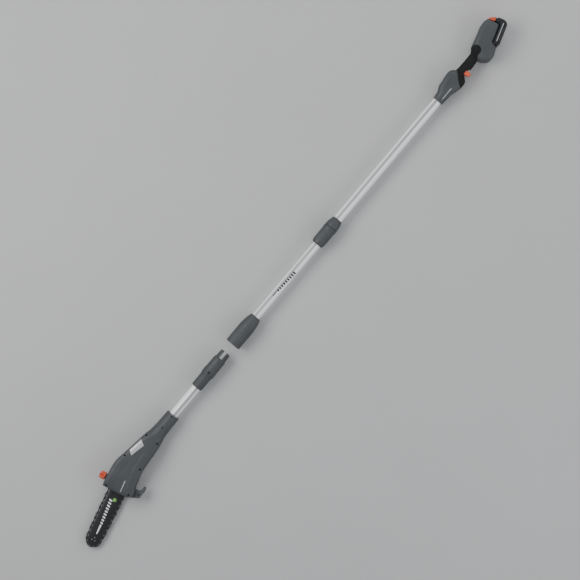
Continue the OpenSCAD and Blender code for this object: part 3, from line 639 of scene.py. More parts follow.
def surface_of(*objects):
    """A function that gives the height of the highest surface over a point of the row's XY plane."""
    trees = []
    for obj in objects:
        bm = bmesh.new()
        bm.from_mesh(obj.data)
        trees.append(BVHTree.FromBMesh(bm))
        bm.free()

    def height(x, y):
        hits = [tree.ray_cast(Vector((x, y, 1)), Vector((0, 0, -1)))[0] for tree in trees]
        found = [hit.z for hit in hits if hit is not None]
        return max(found) if found else None

    return height


PATCH_SINK = 0.6 * MM


def draped(name, corners, at, height, slot, body, rise, across=24, along=24, shape=None, stands_for=()):
    """A thin patch that follows the surface below it; corners go round it, shape(u, v) adds to its rise."""
    c = [Vector(p) for p in corners]
    top, bottom = [], []
    for j in range(along + 1):
        v = j / along
        for i in range(across + 1):
            u = i / across
            p = c[0].lerp(c[1], u).lerp(c[3].lerp(c[2], u), v)
            spot = at @ Vector((p.x, p.y, 0))
            z = height(spot.x, spot.y)
            z = at.translation.z if z is None else z
            edge = min(u, 1 - u) * (c[1] - c[0]).length, min(v, 1 - v) * (c[3] - c[0]).length
            soft = smoothstep(-0.3, 0.7, min(edge))
            lift = (rise + (shape(u, v) if shape else 0)) * soft
            top.append(Vector((spot.x, spot.y, z + lift * MM)))
            bottom.append(Vector((spot.x, spot.y, z - PATCH_SINK)))
    w = across + 1
    count = len(top)
    faces = []
    for j in range(along):
        for i in range(across):
            a, b, d, e = j * w + i, j * w + i + 1, (j + 1) * w + i + 1, (j + 1) * w + i
            faces += [(a, b, d, e), (count + a, count + e, count + d, count + b)]
    rim = list(range(w)) + [j * w + across for j in range(1, along + 1)]
    rim += [along * w + i for i in range(across - 1, -1, -1)] + [j * w for j in range(along - 1, 0, -1)]
    for a, b in zip(rim, rim[1:] + rim[:1]):
        faces.append((a, count + a, count + b, b))
    return piece(name, (top + bottom, faces), Matrix.Identity(4), slot, body, stands_for=stands_for, sharp=50)


def spot_on(height, x, y, at):
    """Height of the surface over a point of one of the tool's frames, in that frame's millimetres."""
    p = at @ Vector((x, y, 0))
    return (at.inverted() @ Vector((p.x, p.y, height(p.x, p.y)))).z


def screw_bosses(name, screws, height, at, body, radius, reach, turn):
    """Collars round the screws, from just behind each seat up to the housing's skin."""
    rings = []
    for x, y, seat in screws:
        around = ((reach, 0), (-reach, 0), (0, reach), (0, -reach))
        rim = min(spot_on(height, x + dx, y + dy, at) for dx, dy in around) - 0.5
        well = WELL_R + 0.02
        profile = [(seat - 2, SHANK_R), (seat - 2, radius), (rim, radius), (rim, well), (seat, well),
                   (seat, SHANK_R)]
        rings.append(moved(lathe(profile, sides=32), Matrix.Translation((x, y, 0)) @ turn))
    piece(name, together(*rings), at, "grey_plastic", body)


# ---- CAD nodes that stay

slots = {sub["node"]: sub["material_slot"] for sub in frame["record"]["subparts"]}
EDGE_WIDTH = {"aluminium_tube": 0.2, "steel": 0.25, "black_steel": 0.25, "brass": 0.2, "board": 0.2,
              "cell_wrap": 0.5}
NO_BEVEL = ("handle_wiring", "oil_line", "crown_gear", "motor_shaft", "saw_chain")
for node, obj in frame["nodes"].items():
    obj.data.materials.clear()
    obj.data.materials.append(MATERIALS[slots[node]])
    if node not in NO_BEVEL:
        soften(obj, EDGE_WIDTH.get(slots[node], 0.4))

# ---- pole fittings

FLUTE_SHARE = 0.45
FLUTE_FADE = 7


def fluted(start, end, count, depth):
    """Shallow lengthwise flutes between two stations, fading at their ends."""
    def shape(x, angle, radius):
        if radius < 22 or not start - FLUTE_FADE < x < end + FLUTE_FADE:
            return 0
        along = zone(x, start, start + FLUTE_FADE, end - FLUTE_FADE, end)
        off = abs((angle * count / (2 * pi)) % 1 - 0.5)
        across = smoothstep(FLUTE_SHARE / 2, FLUTE_SHARE / 4, off)
        return -depth * along * across
    return shape


def turned(outer, inner):
    """A closed ring profile from an outer line and the inner line that returns."""
    return dense(rounded(outer + inner, 0.8), 2.5, closed=True)


piece("coupling_sleeve_shell", lathe(turned(
    [(0, 24.2), (0, 26.6), (1.5, 27.4), (6.5, 27.4), (7.2, 26.9), (8.4, 26.9), (9.1, 27.4), (78, 27.4),
     (98, 25), (112, 22.2), (113.2, 21.4), (114.4, 21.5), (119, 20.3), (122, 17.8), (123, 16.4)],
    [(123, 13.9), (113, 13.9), (113, 18.8), (101, 18.8), (101, 22.1), (86, 22.1), (86, 25.1), (19, 25.1),
     (19, 24.2)]),
    sides=192, shape=fluted(14, 78, 18, 0.75)), POLE, "grey_plastic", "coupling_sleeve", ["coupling_sleeve"])

collar_x = (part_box("locking_collar")[0].x - pole_at.x) / MM
collar_profile = turned(
    [(0, 14.4), (0, 20.3), (3, 22), (12, 23.5), (58, 23.6), (62, 24.2), (64.5, 25), (70, 24.6), (72, 23.8)],
    [(72, 18.8), (5, 18.8), (5, 14.4)])
piece("locking_collar_ring", lathe([(x + collar_x, r) for x, r in collar_profile], sides=192,
                                   shape=fluted(collar_x + 13, collar_x + 58, 15, 0.8)),
      POLE, "grey_plastic", "locking_collar", ["locking_collar"])

lip = [(x + collar_x, r) for x, r in ((0.4, 15.35), (0.4, 18.9), (-1.2, 18.6), (-1.6, 17.6), (-1.4, 15.6))]
piece("collar_mouth_seal", lathe(lip, sides=96), POLE, "black_rubber", "locking_collar")

body_profile = turned(
    [(26, 15.1), (26, 18.4), (73, 18.4), (73, 23.6), (74.2, 24.4), (78, 24.4), (79, 23.9), (80.4, 23.8),
     (81.4, 24.1), (92, 22.5), (103, 19.2), (107, 18), (109, 16.6)], [(109, 15.1)])
piece("collar_body_sleeve", lathe([(x + collar_x, r) for x, r in body_profile], sides=128),
      POLE, "grey_plastic", "handle", ["collar_body"])

spigot_line = [(-20, 0), (-20, 15.1), (-61, 15.1), (-61, 18.2), (-58.5, 20.4), (-14, 20.4), (-4, 22.4),
               (-2, 23.4), (3, 23.5), (3.8, 22.7), (6.2, 22.7), (7, 23.5), (14.6, 23.5), (17, 22.4),
               (60, 22.4), (64.5, 20.8), (67, 19.2), (91, 18.6), (94, 16.6), (94, 0)]
spigot_profile = dense(rounded(spigot_line, 0.9, closed=False), 2.5)
rib_shape = fluted(-56, -16, 24, 0.5)
spigot = lathe(spigot_profile, sides=144, closed=False,
               shape=lambda x, a, r: rib_shape(x, a, r + 2) if r > 20 else 0)
piece("head_spigot_body", spigot, HEAD, "grey_plastic", "saw_head", ["head_spigot"], cuts=[
    block((65, -5, -30), (100, 5, 30)), drum(5, 0, 12, 30, 4.6),
    lathe([(-62, 0), (-62, 6.4), (58, 6.4), (58, 8), (66, 8), (66, 0)], sides=48, closed=False)])

# Coil cord inside the tubes: a true helix
cord_start, cord_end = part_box("coil_cord")[0].x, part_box("coil_cord")[1].x
COIL_TURNS, COIL_R, CORD_R = 84, 5.9, 1.9
coil_length = (cord_end - cord_start) / MM
coil_from = (cord_start - pole_at.x) / MM
coil_path = []
coil_steps = COIL_TURNS * 12
for k in range(coil_steps + 1):
    turn = 2 * pi * k / 12
    spread = min(1.0, k / 18, (coil_steps - k) / 18)
    coil_path.append((coil_from + CORD_R + (coil_length - 2 * CORD_R) * k / coil_steps,
                      COIL_R * spread * cos(turn), COIL_R * spread * sin(turn)))
coil = raw("coil_cord_helix", swept(coil_path, CORD_R, sides=7), POLE)
finish_mesh(coil, 60)
coil.data.materials.append(MATERIALS["black_rubber"])
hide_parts("coil_cord")
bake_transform(coil)

# ---- saw head housing

HEAD_TABLE = [
    (-515, 30.5, -493, -64, 26, 15.9, 6, 3),
    (-508, 34, -488, -71, 28.5, 15.9, 8, 3),
    (-497, 37.2, -481, -73, 30, 15.9, 9, 3.5),
    (-478, 41, -467, -69.3, 31.5, 15.9, 10, 4),
    (-455, 45.8, -452, -61.2, 32, 15.9, 11, 4),
    (-436, 48.8, -436, -56, 32, 15.9, 11, 4),
    (-420, 49.6, -420, -51, 32, 15.9, 11, 4),
    (-405, 47.6, -405, -46.2, 32, 15.9, 11, 4),
    (-391.6, 45.4, -391.6, -43.9, 32, 16, 12, 4),
    (-390.6, 45.3, -390.6, -43.8, 32, 29.6, 12, 10),
    (-367, 42, -367, -41, 32, 30, 12, 11),
    (-340, 38.7, -340, -39, 31.6, 29.8, 13, 12),
    (-312, 35.2, -312, -36.6, 30.6, 29, 15, 14),
    (-291, 32.3, -291, -33.6, 29, 28.2, 20, 19),
    (-275, 28.4, -275, -30.2, 27.4, 27.2, 25, 24),
    (-262, 26.9, -262, -27.2, 26.6, 26.6, 26, 26),
    (-240, 25.4, -240, -25.4, 25.4, 25.4, 25.4, 25.4),
    (-185, 24.2, -185, -24.2, 24.2, 24.2, 24.2, 24.2),
]
# Each screw's x and y, and the depth of its seat
HEAD_SCREWS = [(-510, 20, 12), (-391, 37, 12), (-292, 24.5, 12), (-291, -22, 12), (-394, -33.5, 12),
               (-486, -58.5, 12), (-238, 0, 20.3), (-190, 0, 20.3)]
HOOK_SCREW = (-466, -85)
WALL = 2.4
WELL_R = 3.4
SHANK_R = 1.7


def head_relief(x, y, v, half):
    """The raised panel on the head's side, and the step that runs down to the neck."""
    panel = zone(x, -503, -496, -318, -300) * zone(v, 15 - half, 18 - half, half - 12, half - 9)
    brow = zone(x, -500, -470, -360, -330) * zone(v, 30 - half, 33 - half, half - 32, half - 30)
    return 0.9 * panel - 0.7 * brow


head_rows = eased_rows(HEAD_TABLE, 150)
wells = [drum(x, y, seat, 60, WELL_R) for x, y, seat in HEAD_SCREWS]
cap_well = moved(drum(0, 0, -20, 30, 11.0, sides=48), HEAD.inverted() @ CAP)

head_left = piece("head_shell_left_moulding",
                  loft(head_rows, (1,), start=4, end=2.5, end_hole=15.2, wall=WALL, relief=head_relief,
                       top=44),
                  HEAD, "grey_plastic", "saw_head", ["head_shell_left"], cuts=[*wells, cap_well])
piece("head_shell_right_moulding", loft(head_rows, (-1,), start=3, end=2.5, end_hole=15.2, wall=WALL, top=36),
      HEAD, "grey_plastic", "saw_head", ["head_shell_right"],
      cuts=[cap_well, drum(-437, -4, -30, -8, 10.3, sides=48)])
head_top = surface_of(head_left)

screw_bosses("head_screw_bosses", HEAD_SCREWS, head_top, HEAD, "saw_head", 4.6, 5, TO_UP)

HOOK = rounded([(-500, -56), (-482.8, -81.6), (-473.6, -94.6), (-440, -93.7), (-432, -90), (-432, -84.2),
                (-437, -81.8), (-451, -81.4), (-457.6, -76), (-457.3, -58), (-475, -50)], 4)
hook_screw_wells = [drum(*HOOK_SCREW, 6, 20, WELL_R), drum(*HOOK_SCREW, -20, 7, SHANK_R)]
piece("branch_hook", plate(HOOK, -10, 12, 2.6, steps=4), HEAD, "grey_plastic", "saw_head",
      cuts=hook_screw_wells)

# Silver plate with ribs across it, and a plain accent line
PLATE_RIBS = 9
draped("side_plate_ribbed", [(-366, 37.2), (-313, 30.0), (-324, 9), (-377, 20)], HEAD, head_top,
       "silver_plate", "saw_head",
       rise=0.7, across=108, along=16, stands_for=["side_plate"],
       shape=lambda u, v: 0.75 * zone(v, 0, 0.12, 0.88, 1)
       * smoothstep(0.3, 0.5, abs((u * PLATE_RIBS) % 1 - 0.5) * 2 - 0.15))
line_from, line_to = Vector((-496, -31)), Vector((-456, -20))
line_side = Vector((-(line_to - line_from).y, (line_to - line_from).x)).normalized() * 1.1
line_corners = [line_from - line_side, line_to - line_side, line_to + line_side, line_from + line_side]
draped("head_accent_line", line_corners, HEAD, head_top, "silver_plate", "saw_head", rise=0.35, across=30,
       along=4)

# Cover over the sprocket, on the right side
COVER = rounded([(-394, -43), (-394, 42), (-425, 45), (-449, 42), (-470, 38), (-503, 31), (-516, 27),
                 (-511, -2), (-504, -34), (-498, -58), (-484, -66), (-474, -66), (-449, -57),
                 (-425, -49.5)], 5)
DEEP = -pole_at.z / MM
STUD_AT = 52
to_bar = HEAD.inverted() @ BAR
bar_tunnel = moved(block((24, -37, -31.5), (150, 37, -10)), to_bar)
nut_recess = moved(drum(STUD_AT, 0, DEEP - 5, -31, 12, sides=48), to_bar)
stud_hole = moved(drum(STUD_AT, 0, -38, -10, 4.6), to_bar)
cover_hollow = plate(inset(COVER if area(COVER) > 0 else COVER[::-1], 2.6), -36.6, -10, 1.5)
cover_boss = moved(lathe([(-37, 4.7), (-37, 15), (-26.4, 15), (-26.4, 4.7)], sides=64),
                   to_bar @ Matrix.Translation((STUD_AT, 0, 0)) @ TO_UP)
piece("sprocket_cover_moulding", plate(COVER, DEEP, -16.1, 0.6, low_fillet=4, steps=4), HEAD,
      "grey_plastic", "saw_head", ["sprocket_cover"],
      cuts=[cover_hollow, bar_tunnel, nut_recess, stud_hole])
piece("sprocket_cover_boss", cover_boss, HEAD, "grey_plastic", "saw_head")

# ---- oil cap

flange_line = rounded([(2.2, 0.01), (2.2, 13.4), (3, 14), (7.4, 14), (8.6, 12.6), (9, 0.01)], 0.6)
cap_flange = lathe(dense(flange_line, 1.5, closed=True), sides=144,
                   shape=lambda x, a, r: -0.5 * smoothstep(0.1, 0.6, sin(a * 24)) if r > 13.2 else 0)
star = []
for k in range(144):
    a = 2 * pi * k / 144
    r = 9.6 + 3.1 * cos(6 * a) + 0.5 * cos(12 * a)
    star.append(Vector((r * cos(a), r * sin(a))))
cap_knob = plate(star, 8.6, 21, 1.6, steps=4)
cap_top = drum(0, 0, 20, 23, 6.6, sides=48, chamfer=1.2)
cap_plug = lathe([(-8, 5.6), (-8, 7.6), (3, 7.6), (3, 5.6)], sides=64)
piece("oil_cap_knob", together(moved(cap_flange, TO_UP), cap_knob, cap_top, moved(cap_plug, TO_UP)), CAP,
      "orange_plastic", "oil_cap", ["oil_cap"])
neck = lathe(rounded([(-12, 8.1), (-12, 10.2), (0.2, 10.2), (0.2, 8.1)], 0.4), sides=96)
piece("oil_filler_neck", moved(neck, TO_UP), CAP, "grey_plastic", "saw_head")

# ---- guide bar

BAR_Z = (middle("guide_bar").z - pole_at.z) / MM
NOSE_R = 22.5
NOSE_AT = 255.5
BAR_HALF = 26.5
GROOVE = 4.5


def bar_half(s):
    return NOSE_R + (BAR_HALF - NOSE_R) * sin(radians(90 * max(0, (NOSE_AT - s) / (NOSE_AT - 30)) ** 0.6))


def bar_outline(grow=0.0):
    runs = [36 + (NOSE_AT - 36) * k / 22 for k in range(23)]
    low = [Vector((s, -bar_half(s) - grow)) for s in runs]
    high = [Vector((s, bar_half(s) + grow)) for s in reversed(runs)]
    root = [(29, 22 + grow * 0.6), (24.4 - grow * 0.2, 16), (24.4 - grow * 0.2, -16), (29, -22 - grow * 0.6)]
    root = rounded([high[-1], *root, low[0]], 4, closed=False)[1:-1]
    return low + arc((NOSE_AT, 0), NOSE_R + grow, -84, 84, 30) + high + root


slot_shape = arc((STUD_AT - 10, 0), 4.4, 90, 270, 12) + arc((STUD_AT + 10, 0), 4.4, -90, 90, 12)
bar_cuts = [plate(slot_shape, BAR_Z - 9, BAR_Z + 9, 0.01, steps=1)]
bar_cuts += [drum(51, t, BAR_Z - 9, BAR_Z + 9, 2.7) for t in (-15, 15)]
bar_cuts += [drum(33, t, BAR_Z - 9, BAR_Z + 9, 1.3, sides=16) for t in (-13, 13)]
cheeks = [plate(bar_outline(), z0, z1, 0.35, steps=2) for z0, z1 in
          ((BAR_Z - 2, BAR_Z - 0.66), (BAR_Z + 0.66, BAR_Z + 2))]
core = plate([p for p in bar_outline(-GROOVE) if p.x < NOSE_AT - NOSE_R + 4], BAR_Z - 0.67, BAR_Z + 0.67,
             0.01, steps=1)
piece("guide_bar_cheeks", together(*cheeks), BAR, "black_paint", "guide_bar", ["guide_bar"], cuts=bar_cuts)
piece("guide_bar_core", core, BAR, "steel", "guide_bar", cuts=bar_cuts[:1])
rivets = [drum(NOSE_AT + 6.5 * cos(a), 6.5 * sin(a), BAR_Z - 2.25, BAR_Z + 2.25, 1.7, sides=20, chamfer=0.25)
          for a in (radians(k) for k in (60, 180, 300))]
piece("nose_rivets", together(*rivets), BAR, "steel", "guide_bar")

# Plain print along the bar: slanted strokes, a thin line tapering to a small round end, and a dot
PRINTS = {name: moulded(name, colour, rough=0.4, grain_depth=0.05) for name, colour in
          (("white_print", (0.78, 0.78, 0.78)), ("green_print", (0.13, 0.30, 0.06)))}
strokes, dots = [], []
for side in (1, -1):
    z0, z1 = (BAR_Z + depth for depth in span(side, 1.98, 2.08))
    for k in range(9):
        s0, tall, t = 107 + 10.4 * k, 5.8 - 0.2 * k, -6.5 + 0.8 * k
        outline = ((s0, t - tall), (s0 + 5.2, t - tall), (s0 + 7.2, t + tall), (s0 + 2.0, t + tall))
        strokes.append(plate(outline, z0, z1, 0.02, steps=1))
    strokes.append(plate(arc((203, 0), 2.9, 90, 270, 8) + arc((233, 0.6), 2.0, -110, 110, 10), z0, z1, 0.02,
                         steps=1))
    dots.append(plate(arc((104, 5), 6.4, 0, 350, 35), z0, z1, 0.02, steps=1))
for name, solids in (("bar_white_strokes", strokes), ("bar_green_dots", dots)):
    marks = piece(name, together(*solids), BAR, "black_paint", "guide_bar")
    marks.data.materials.clear()
    marks.data.materials.append(PRINTS["green_print" if "green" in name else "white_print"])

# ---- saw chain, link by link

RIVET_GROW = 3.4                    # from the bar's edge to the line through the rivets
DRIVE_R = 24.6                      # of that line, round the drive sprocket
PITCH = 9.5                         # between rivets; the links are drawn for it


def chain_loop():
    """The line through the rivets, as a dense closed path round bar and sprocket."""
    runs = [24 + (NOSE_AT - 24) * k / 60 for k in range(61)]
    low = [Vector((s, -bar_half(max(s, 30)) - RIVET_GROW)) for s in runs]
    high = [Vector((s, bar_half(max(s, 30)) + RIVET_GROW)) for s in reversed(runs)]
    nose = arc((NOSE_AT, 0), NOSE_R + RIVET_GROW, -88, 88, 40)
    back = arc((0, 0), DRIVE_R, 84, 276, 40)
    return dense(low + nose + high + back, 1.0, closed=True)


loop = chain_loop()
lengths = [0.0]
for a, b in zip(loop, loop[1:] + loop[:1]):
    lengths.append(lengths[-1] + (b - a).length)
RIVETS = 4 * round(lengths[-1] / PITCH / 4)


def on_loop(distance):
    distance %= lengths[-1]
    low, high = 0, len(loop)
    while high - low > 1:
        mid = (low + high) // 2
        low, high = (mid, high) if lengths[mid] <= distance else (low, mid)
    t = (distance - lengths[low]) / (lengths[low + 1] - lengths[low])
    return loop[low].lerp(loop[(low + 1) % len(loop)], t)


rivet_at = [on_loop(lengths[-1] * k / RIVETS) for k in range(RIVETS)]
TIE = rounded([(-2.6, -2.2), (2.0, -1.9), (7.4, -1.9), (12, -2.2), (12.2, 1.6), (9.6, 3.0), (4.7, 2.0),
               (0, 3.0), (-2.8, 1.6)], 2.0)
TIE_EDGE = rounded([(-2.6, 1.3), (-0.2, 2.2), (4.7, 1.3), (9.8, 2.2), (12.0, 1.3), (11.8, 2.2), (9.6, 3.1),
                    (4.7, 2.1), (0, 3.1), (-2.4, 2.2)], 0.5, steps=2)
DRIVE_LINK = rounded([(-2.4, 2.2), (-2.8, -1.4), (0.2, -3.0), (3.4, -5.6), (4.8, -6.6), (6.4, -5.4),
                      (9.2, -3.0), (12, -1.6), (11.8, 2.2), (6, 3.2)], 1.6)
CUTTER = rounded([(-2.8, -2.2), (12.2, -2.2), (12.4, 2.4), (10.6, 5.1), (9.2, 5.0), (7.8, 1.8), (6.0, 2.2),
                  (4.6, 5.0), (-1.6, 4.6), (-3.0, 2.0)], 0.9)
CUTTER_EDGE = rounded([(-2.9, 2.6), (4.4, 3.2), (5.6, 2.4), (4.7, 5.1), (-1.7, 4.7)], 0.6, steps=2)


def link_frame(k):
    """A place for a link that starts on rivet k: X to the next rivet, Y outwards."""
    a, b = rivet_at[k], rivet_at[(k + 1) % RIVETS]
    x = (b - a).normalized()
    matrix = Matrix(((x.x, x.y, 0, a.x), (x.y, -x.x, 0, a.y), (0, 0, -1, BAR_Z), (0, 0, 0, 1)))
    return matrix @ Matrix.Diagonal(((b - a).length / PITCH, 1, 1, 1))


links, edges = [], []
for k in range(RIVETS):
    matrix = link_frame(k)
    if k % 2:
        links.append(moved(plate(DRIVE_LINK, -0.62, 0.62, 0.2, steps=1), matrix))
        continue
    for side in (1, -1):
        cutting = (k % 8 == 0 and side > 0) or (k % 8 == 4 and side < 0)
        links.append(moved(plate(CUTTER if cutting else TIE, *span(side, 0.72, 1.78), 0.2, steps=1), matrix))
        edges.append(moved(plate(CUTTER_EDGE if cutting else TIE_EDGE, *span(side, 0.9, 1.9), 0.12, steps=1),
                           matrix))
        if cutting:
            y0, y1 = span(side, 0.9, 2.9)
            top_plate = skin([[(-1.8, back, y0), (5.2, 5.15, y0), (5.2, 5.15, y1), (-1.8, back, y1)]
                              for back in (4.1, 4.9)])
            edges.append(moved(top_plate, matrix))
    for end in (rivet_at[k], rivet_at[(k + 1) % RIVETS]):
        links.append(moved(drum(0, 0, -2.05, 2.05, 1.35, sides=12, chamfer=0.2),
                           Matrix.Translation((end.x, end.y, BAR_Z))))
piece("saw_chain_links", together(*links), BAR, "chain_steel", "guide_bar", ["saw_chain"], sharp=30)
piece("saw_chain_edges", together(*edges), BAR, "steel", "guide_bar", ["saw_chain"], sharp=30)

# ---- handle

# One station runs round the front housing, the hand hold and the battery housing
HANDLE_TABLE = [
    (1082, 18, 1082, -19.6, 19.6, 19.6, 18, 18),
    (1104, 20.6, 1106, -21.2, 22, 22, 17, 17),
    (1118, 27, 1122, -22.4, 24.5, 24.5, 16, 16),
    (1128, 30.8, 1135, -24.8, 26, 26, 15, 15),
    (1146, 32.6, 1149, -29.2, 26.8, 26.8, 14, 14),
    (1158, 34.6, 1162, -31.8, 27, 27, 13, 13),
    (1174, 35.6, 1180, -32, 26.6, 26.6, 13, 13),
    (1185, 34.6, 1189.5, -29.2, 25, 25, 13, 13),
    (1194.5, 27.4, 1197, -22, 21.6, 21.6, 13, 13),
    (1203, 19.4, 1204.5, -15, 17.6, 17.6, 12, 12),
    (1213, 17.6, 1213, -13, 15.6, 15.6, 11, 11),
    (1223, 17.2, 1222, -14.4, 15, 15, 12, 12),
    (1232, 17, 1231, -17, 15, 15, 13, 13),
    (1241, 16.8, 1240, -17.6, 15, 15, 13, 13),
    (1262, 16.8, 1262, -16.2, 15, 15, 13, 13),
    (1276, 17.4, 1270, -15.4, 16.4, 16.4, 13.5, 13.5),
    (1286.5, 22.5, 1273.5, -24, 21.5, 21.5, 15, 15),
    (1295, 29.2, 1280.5, -34.6, 28, 28, 16, 16),
    (1307, 33.8, 1291, -45, 33, 33, 16, 16),
    (1319, 36.8, 1303, -49.3, 35.4, 35.4, 14, 14),
    (1330, 39.6, 1318, -47.6, 36, 36, 12, 12),
    (1341, 42.8, 1332, -41.4, 36, 36, 11, 11),
    (1351.6, 46, 1344.6, -31, 36, 36, 10, 10),
    (1353.4, 46.6, 1346.2, -17.4, 36, 36, 10, 10),
    (1371, 52.4, 1366, -10.6, 36, 36, 10, 10),
    (1384, 53.2, 1387, -3.6, 36, 36, 10, 10),
    (1396.5, 50.2, 1407.4, 4.4, 35.6, 35.6, 9, 9),
]
HANDLE_SCREWS = [(1138, -19.5, 10), (1150, 24, 10), (1180, -24, 10), (1300, -38, 10), (1330, 30, 10),
                 (1380, 41, 10)]
TRIGGER_PIN = (1208, 3)


def handle_relief(x, y, v, half):
    """A shallow raised panel on the battery housing and a dished finger line on the front one."""
    rear = zone(x, 1306, 1312, 1386, 1392) * zone(v, 11 - half, 14 - half, half - 14, half - 11)
    front = zone(x, 1104, 1112, 1168, 1176) * zone(v, 12 - half, 15 - half, half - 15, half - 12)
    return 0.8 * rear + 0.6 * front


handle_rows = eased_rows(HANDLE_TABLE, 170)
# The blade swings in the slot; the gap opens the hand hold's sides round the blade
trigger_slot = plate([(1227, 9.6), (1233, -12), (1240, -40), (1202.6, -40), (1202.6, 9.6)], -12.4, 12.4, 0.01,
                     steps=1)
trigger_gap = plate([(1223.4, -8), (1224.2, -14), (1226, -40), (1206.6, -40), (1206.6, -8)], -30, 30, 0.01,
                    steps=1)
handle_wells = [drum(x, y, -60, -seat, WELL_R) for x, y, seat in HANDLE_SCREWS]
to_battery = POLE.inverted() @ BATTERY
latch_notch = moved(block((60, 36.5, -13), (95, 60, 13)), to_battery)
rail_slots = [moved(block((5, 9, z - 2), (90, 15.2, z + 2)), to_battery) for z in (-24, 24)]
terminal_pocket = moved(block((6, 8, -13), (38, 22, 13)), to_battery)
button_bore = drum(1176, 10, -40, -15, 6.5)

handle_loft = dict(start=2.2, end=3.6, start_hole=15.1, wall=WALL, relief=handle_relief, top=30)
handle_left = piece("handle_shell_left_moulding", loft(handle_rows, (1,), **handle_loft), POLE,
                    "grey_plastic", "handle", ["handle_shell_left"],
                    cuts=[trigger_slot, trigger_gap, latch_notch, rail_slots[1], terminal_pocket])
piece("handle_shell_right_moulding", loft(handle_rows, (-1,), **handle_loft), POLE, "grey_plastic", "handle",
      ["handle_shell_right"], cuts=[*handle_wells, trigger_slot, trigger_gap, latch_notch, rail_slots[0],
                                    terminal_pocket, button_bore])
handle_top = surface_of(handle_left)

screw_bosses("handle_screw_bosses", HANDLE_SCREWS, handle_top, POLE, "handle", 4.5, 4.8, TO_DOWN)

# Soft skin round the hand hold, with finger ribs below and a rounded lobe behind
GRIP_PROUD = 1.0
GRIP_REGION = [Vector(p) for p in ((1209, 42), (1207, 24), (1200, 14.5), (1192, 7), (1183, -2),
                                   (1175, -11), (1168, -20), (1163.5, -28), (1162, -40), (1236, -40),
                                   (1262, -24), (1271, -13.5), (1280, -7))]
GRIP_REGION += arc((1293.5, 12.5), 17.5, -112, 118, 22) + [Vector((1283, 42))]


def grip_ribs(x, y, v, half):
    """Fine cross ribs on the sides of the hand hold."""
    held = zone(x, 1236, 1240, 1270, 1276) * zone(v, 3 - half, 7 - half, half - 8, half - 4)
    ridge = 0.5 + 0.5 * cos(2 * pi * (x + 0.35 * y) / 4.2)
    return 0.7 * held * (ridge - 1)


grip_table = [row for row in HANDLE_TABLE if 1150 < row[0] < 1335]
grip_rows = eased_rows(grip_table, 190)
grip_loft = dict(sides=(1, -1), start=1, end=1, grow=GRIP_PROUD, relief=grip_ribs, seam=0.15, top=36)
piece("grip_overmould_skin", loft(grip_rows, **grip_loft), POLE, "black_rubber", "handle", ["grip_overmould"],
      keep=plate(rounded(GRIP_REGION, 1.5, steps=2), -60, 60, 0.01, steps=1),
      cuts=[loft(grip_rows, wall=GRIP_PROUD + 1, **grip_loft), trigger_slot, trigger_gap])

# Accent line on the front housing
draped("handle_accent_line", [(1094, -9.4), (1141, -9.4), (1141, -7.6), (1094, -7.6)], POLE, handle_top,
       "silver_plate", "handle", rise=0.35, across=30, along=4)

# Trigger: a curved blade on its pin, ribbed where the finger lies
TRIGGER = rounded([(1204.3, 7.0), (1204.8, -3), (1206.4, -13), (1210.2, -24.5), (1215.4, -30.4),
                   (1220.8, -30.0), (1224.4, -23.0), (1223.6, -12), (1223.4, -3), (1221.6, 4.6),
                   (1216, 7.0)], 3.2, steps=5)
finger_ribs = [block((1203.4 + k, -6.2 - 4.6 * k, -9), (1205.6 + 3.2 * k / 3, -5 - 4.6 * k, 9))
               for k in range(4)]
piece("trigger_blade", plate(TRIGGER, -11.8, 11.8, 1.8, steps=5), POLE, "orange_plastic", "trigger",
      ["trigger"], cuts=[drum(*TRIGGER_PIN, -20, 20, 2.1), *finger_ribs])

# Springs as real coils


def coil_spring(name, at, start, length, radius, wire, turns, body, node):
    steps = turns * 14
    path = [(start[0] + wire + (length - 2 * wire) * k / steps, start[1] + radius * cos(2 * pi * k / 14),
             start[2] + radius * sin(2 * pi * k / 14)) for k in range(steps + 1)]
    piece(name, swept(path, wire, sides=7), at, "steel", body, [node], sharp=60)


coil_spring("trigger_spring_coil", POLE, (1219.3, 0, 0), 13.0, 2.6, 0.35, 7, "handle", "trigger_spring")
spring_at = BATTERY @ Matrix.Translation((84, 29.7, 0)) @ TO_Y
coil_spring("latch_spring_coil", spring_at, (0, 0, 0), 11.0, 3.2, 0.4, 6, "battery", "latch_spring")

# Plain dark strokes along the lower tube, lying on its upper side
TUBE_R = 13.5


def on_tube(x0, x1, y0, y1):
    rings = []
    for x in (x0, x1):
        turns = [asin((y0 + (y1 - y0) * k / 6) / TUBE_R) for k in range(7)]
        rings.append([(x, (TUBE_R + 0.05) * sin(a), (TUBE_R + 0.05) * cos(a)) for a in turns]
                     + [(x, (TUBE_R - 0.2) * sin(a), (TUBE_R - 0.2) * cos(a)) for a in reversed(turns)])
    return skin(rings)


tube_marks = [on_tube(215, 220, -0.9, 3.7), on_tube(220, 235, -0.2, 3.0)]
tube_marks += [on_tube(237.5 + 10 * k, 244 + 10 * k, -3.8 - 0.75 * k, 4.2 - 0.3 * k) for k in range(9)]
piece("tube_dark_strokes", together(*tube_marks), POLE, "black_paint", "inner_pole")

# ---- battery

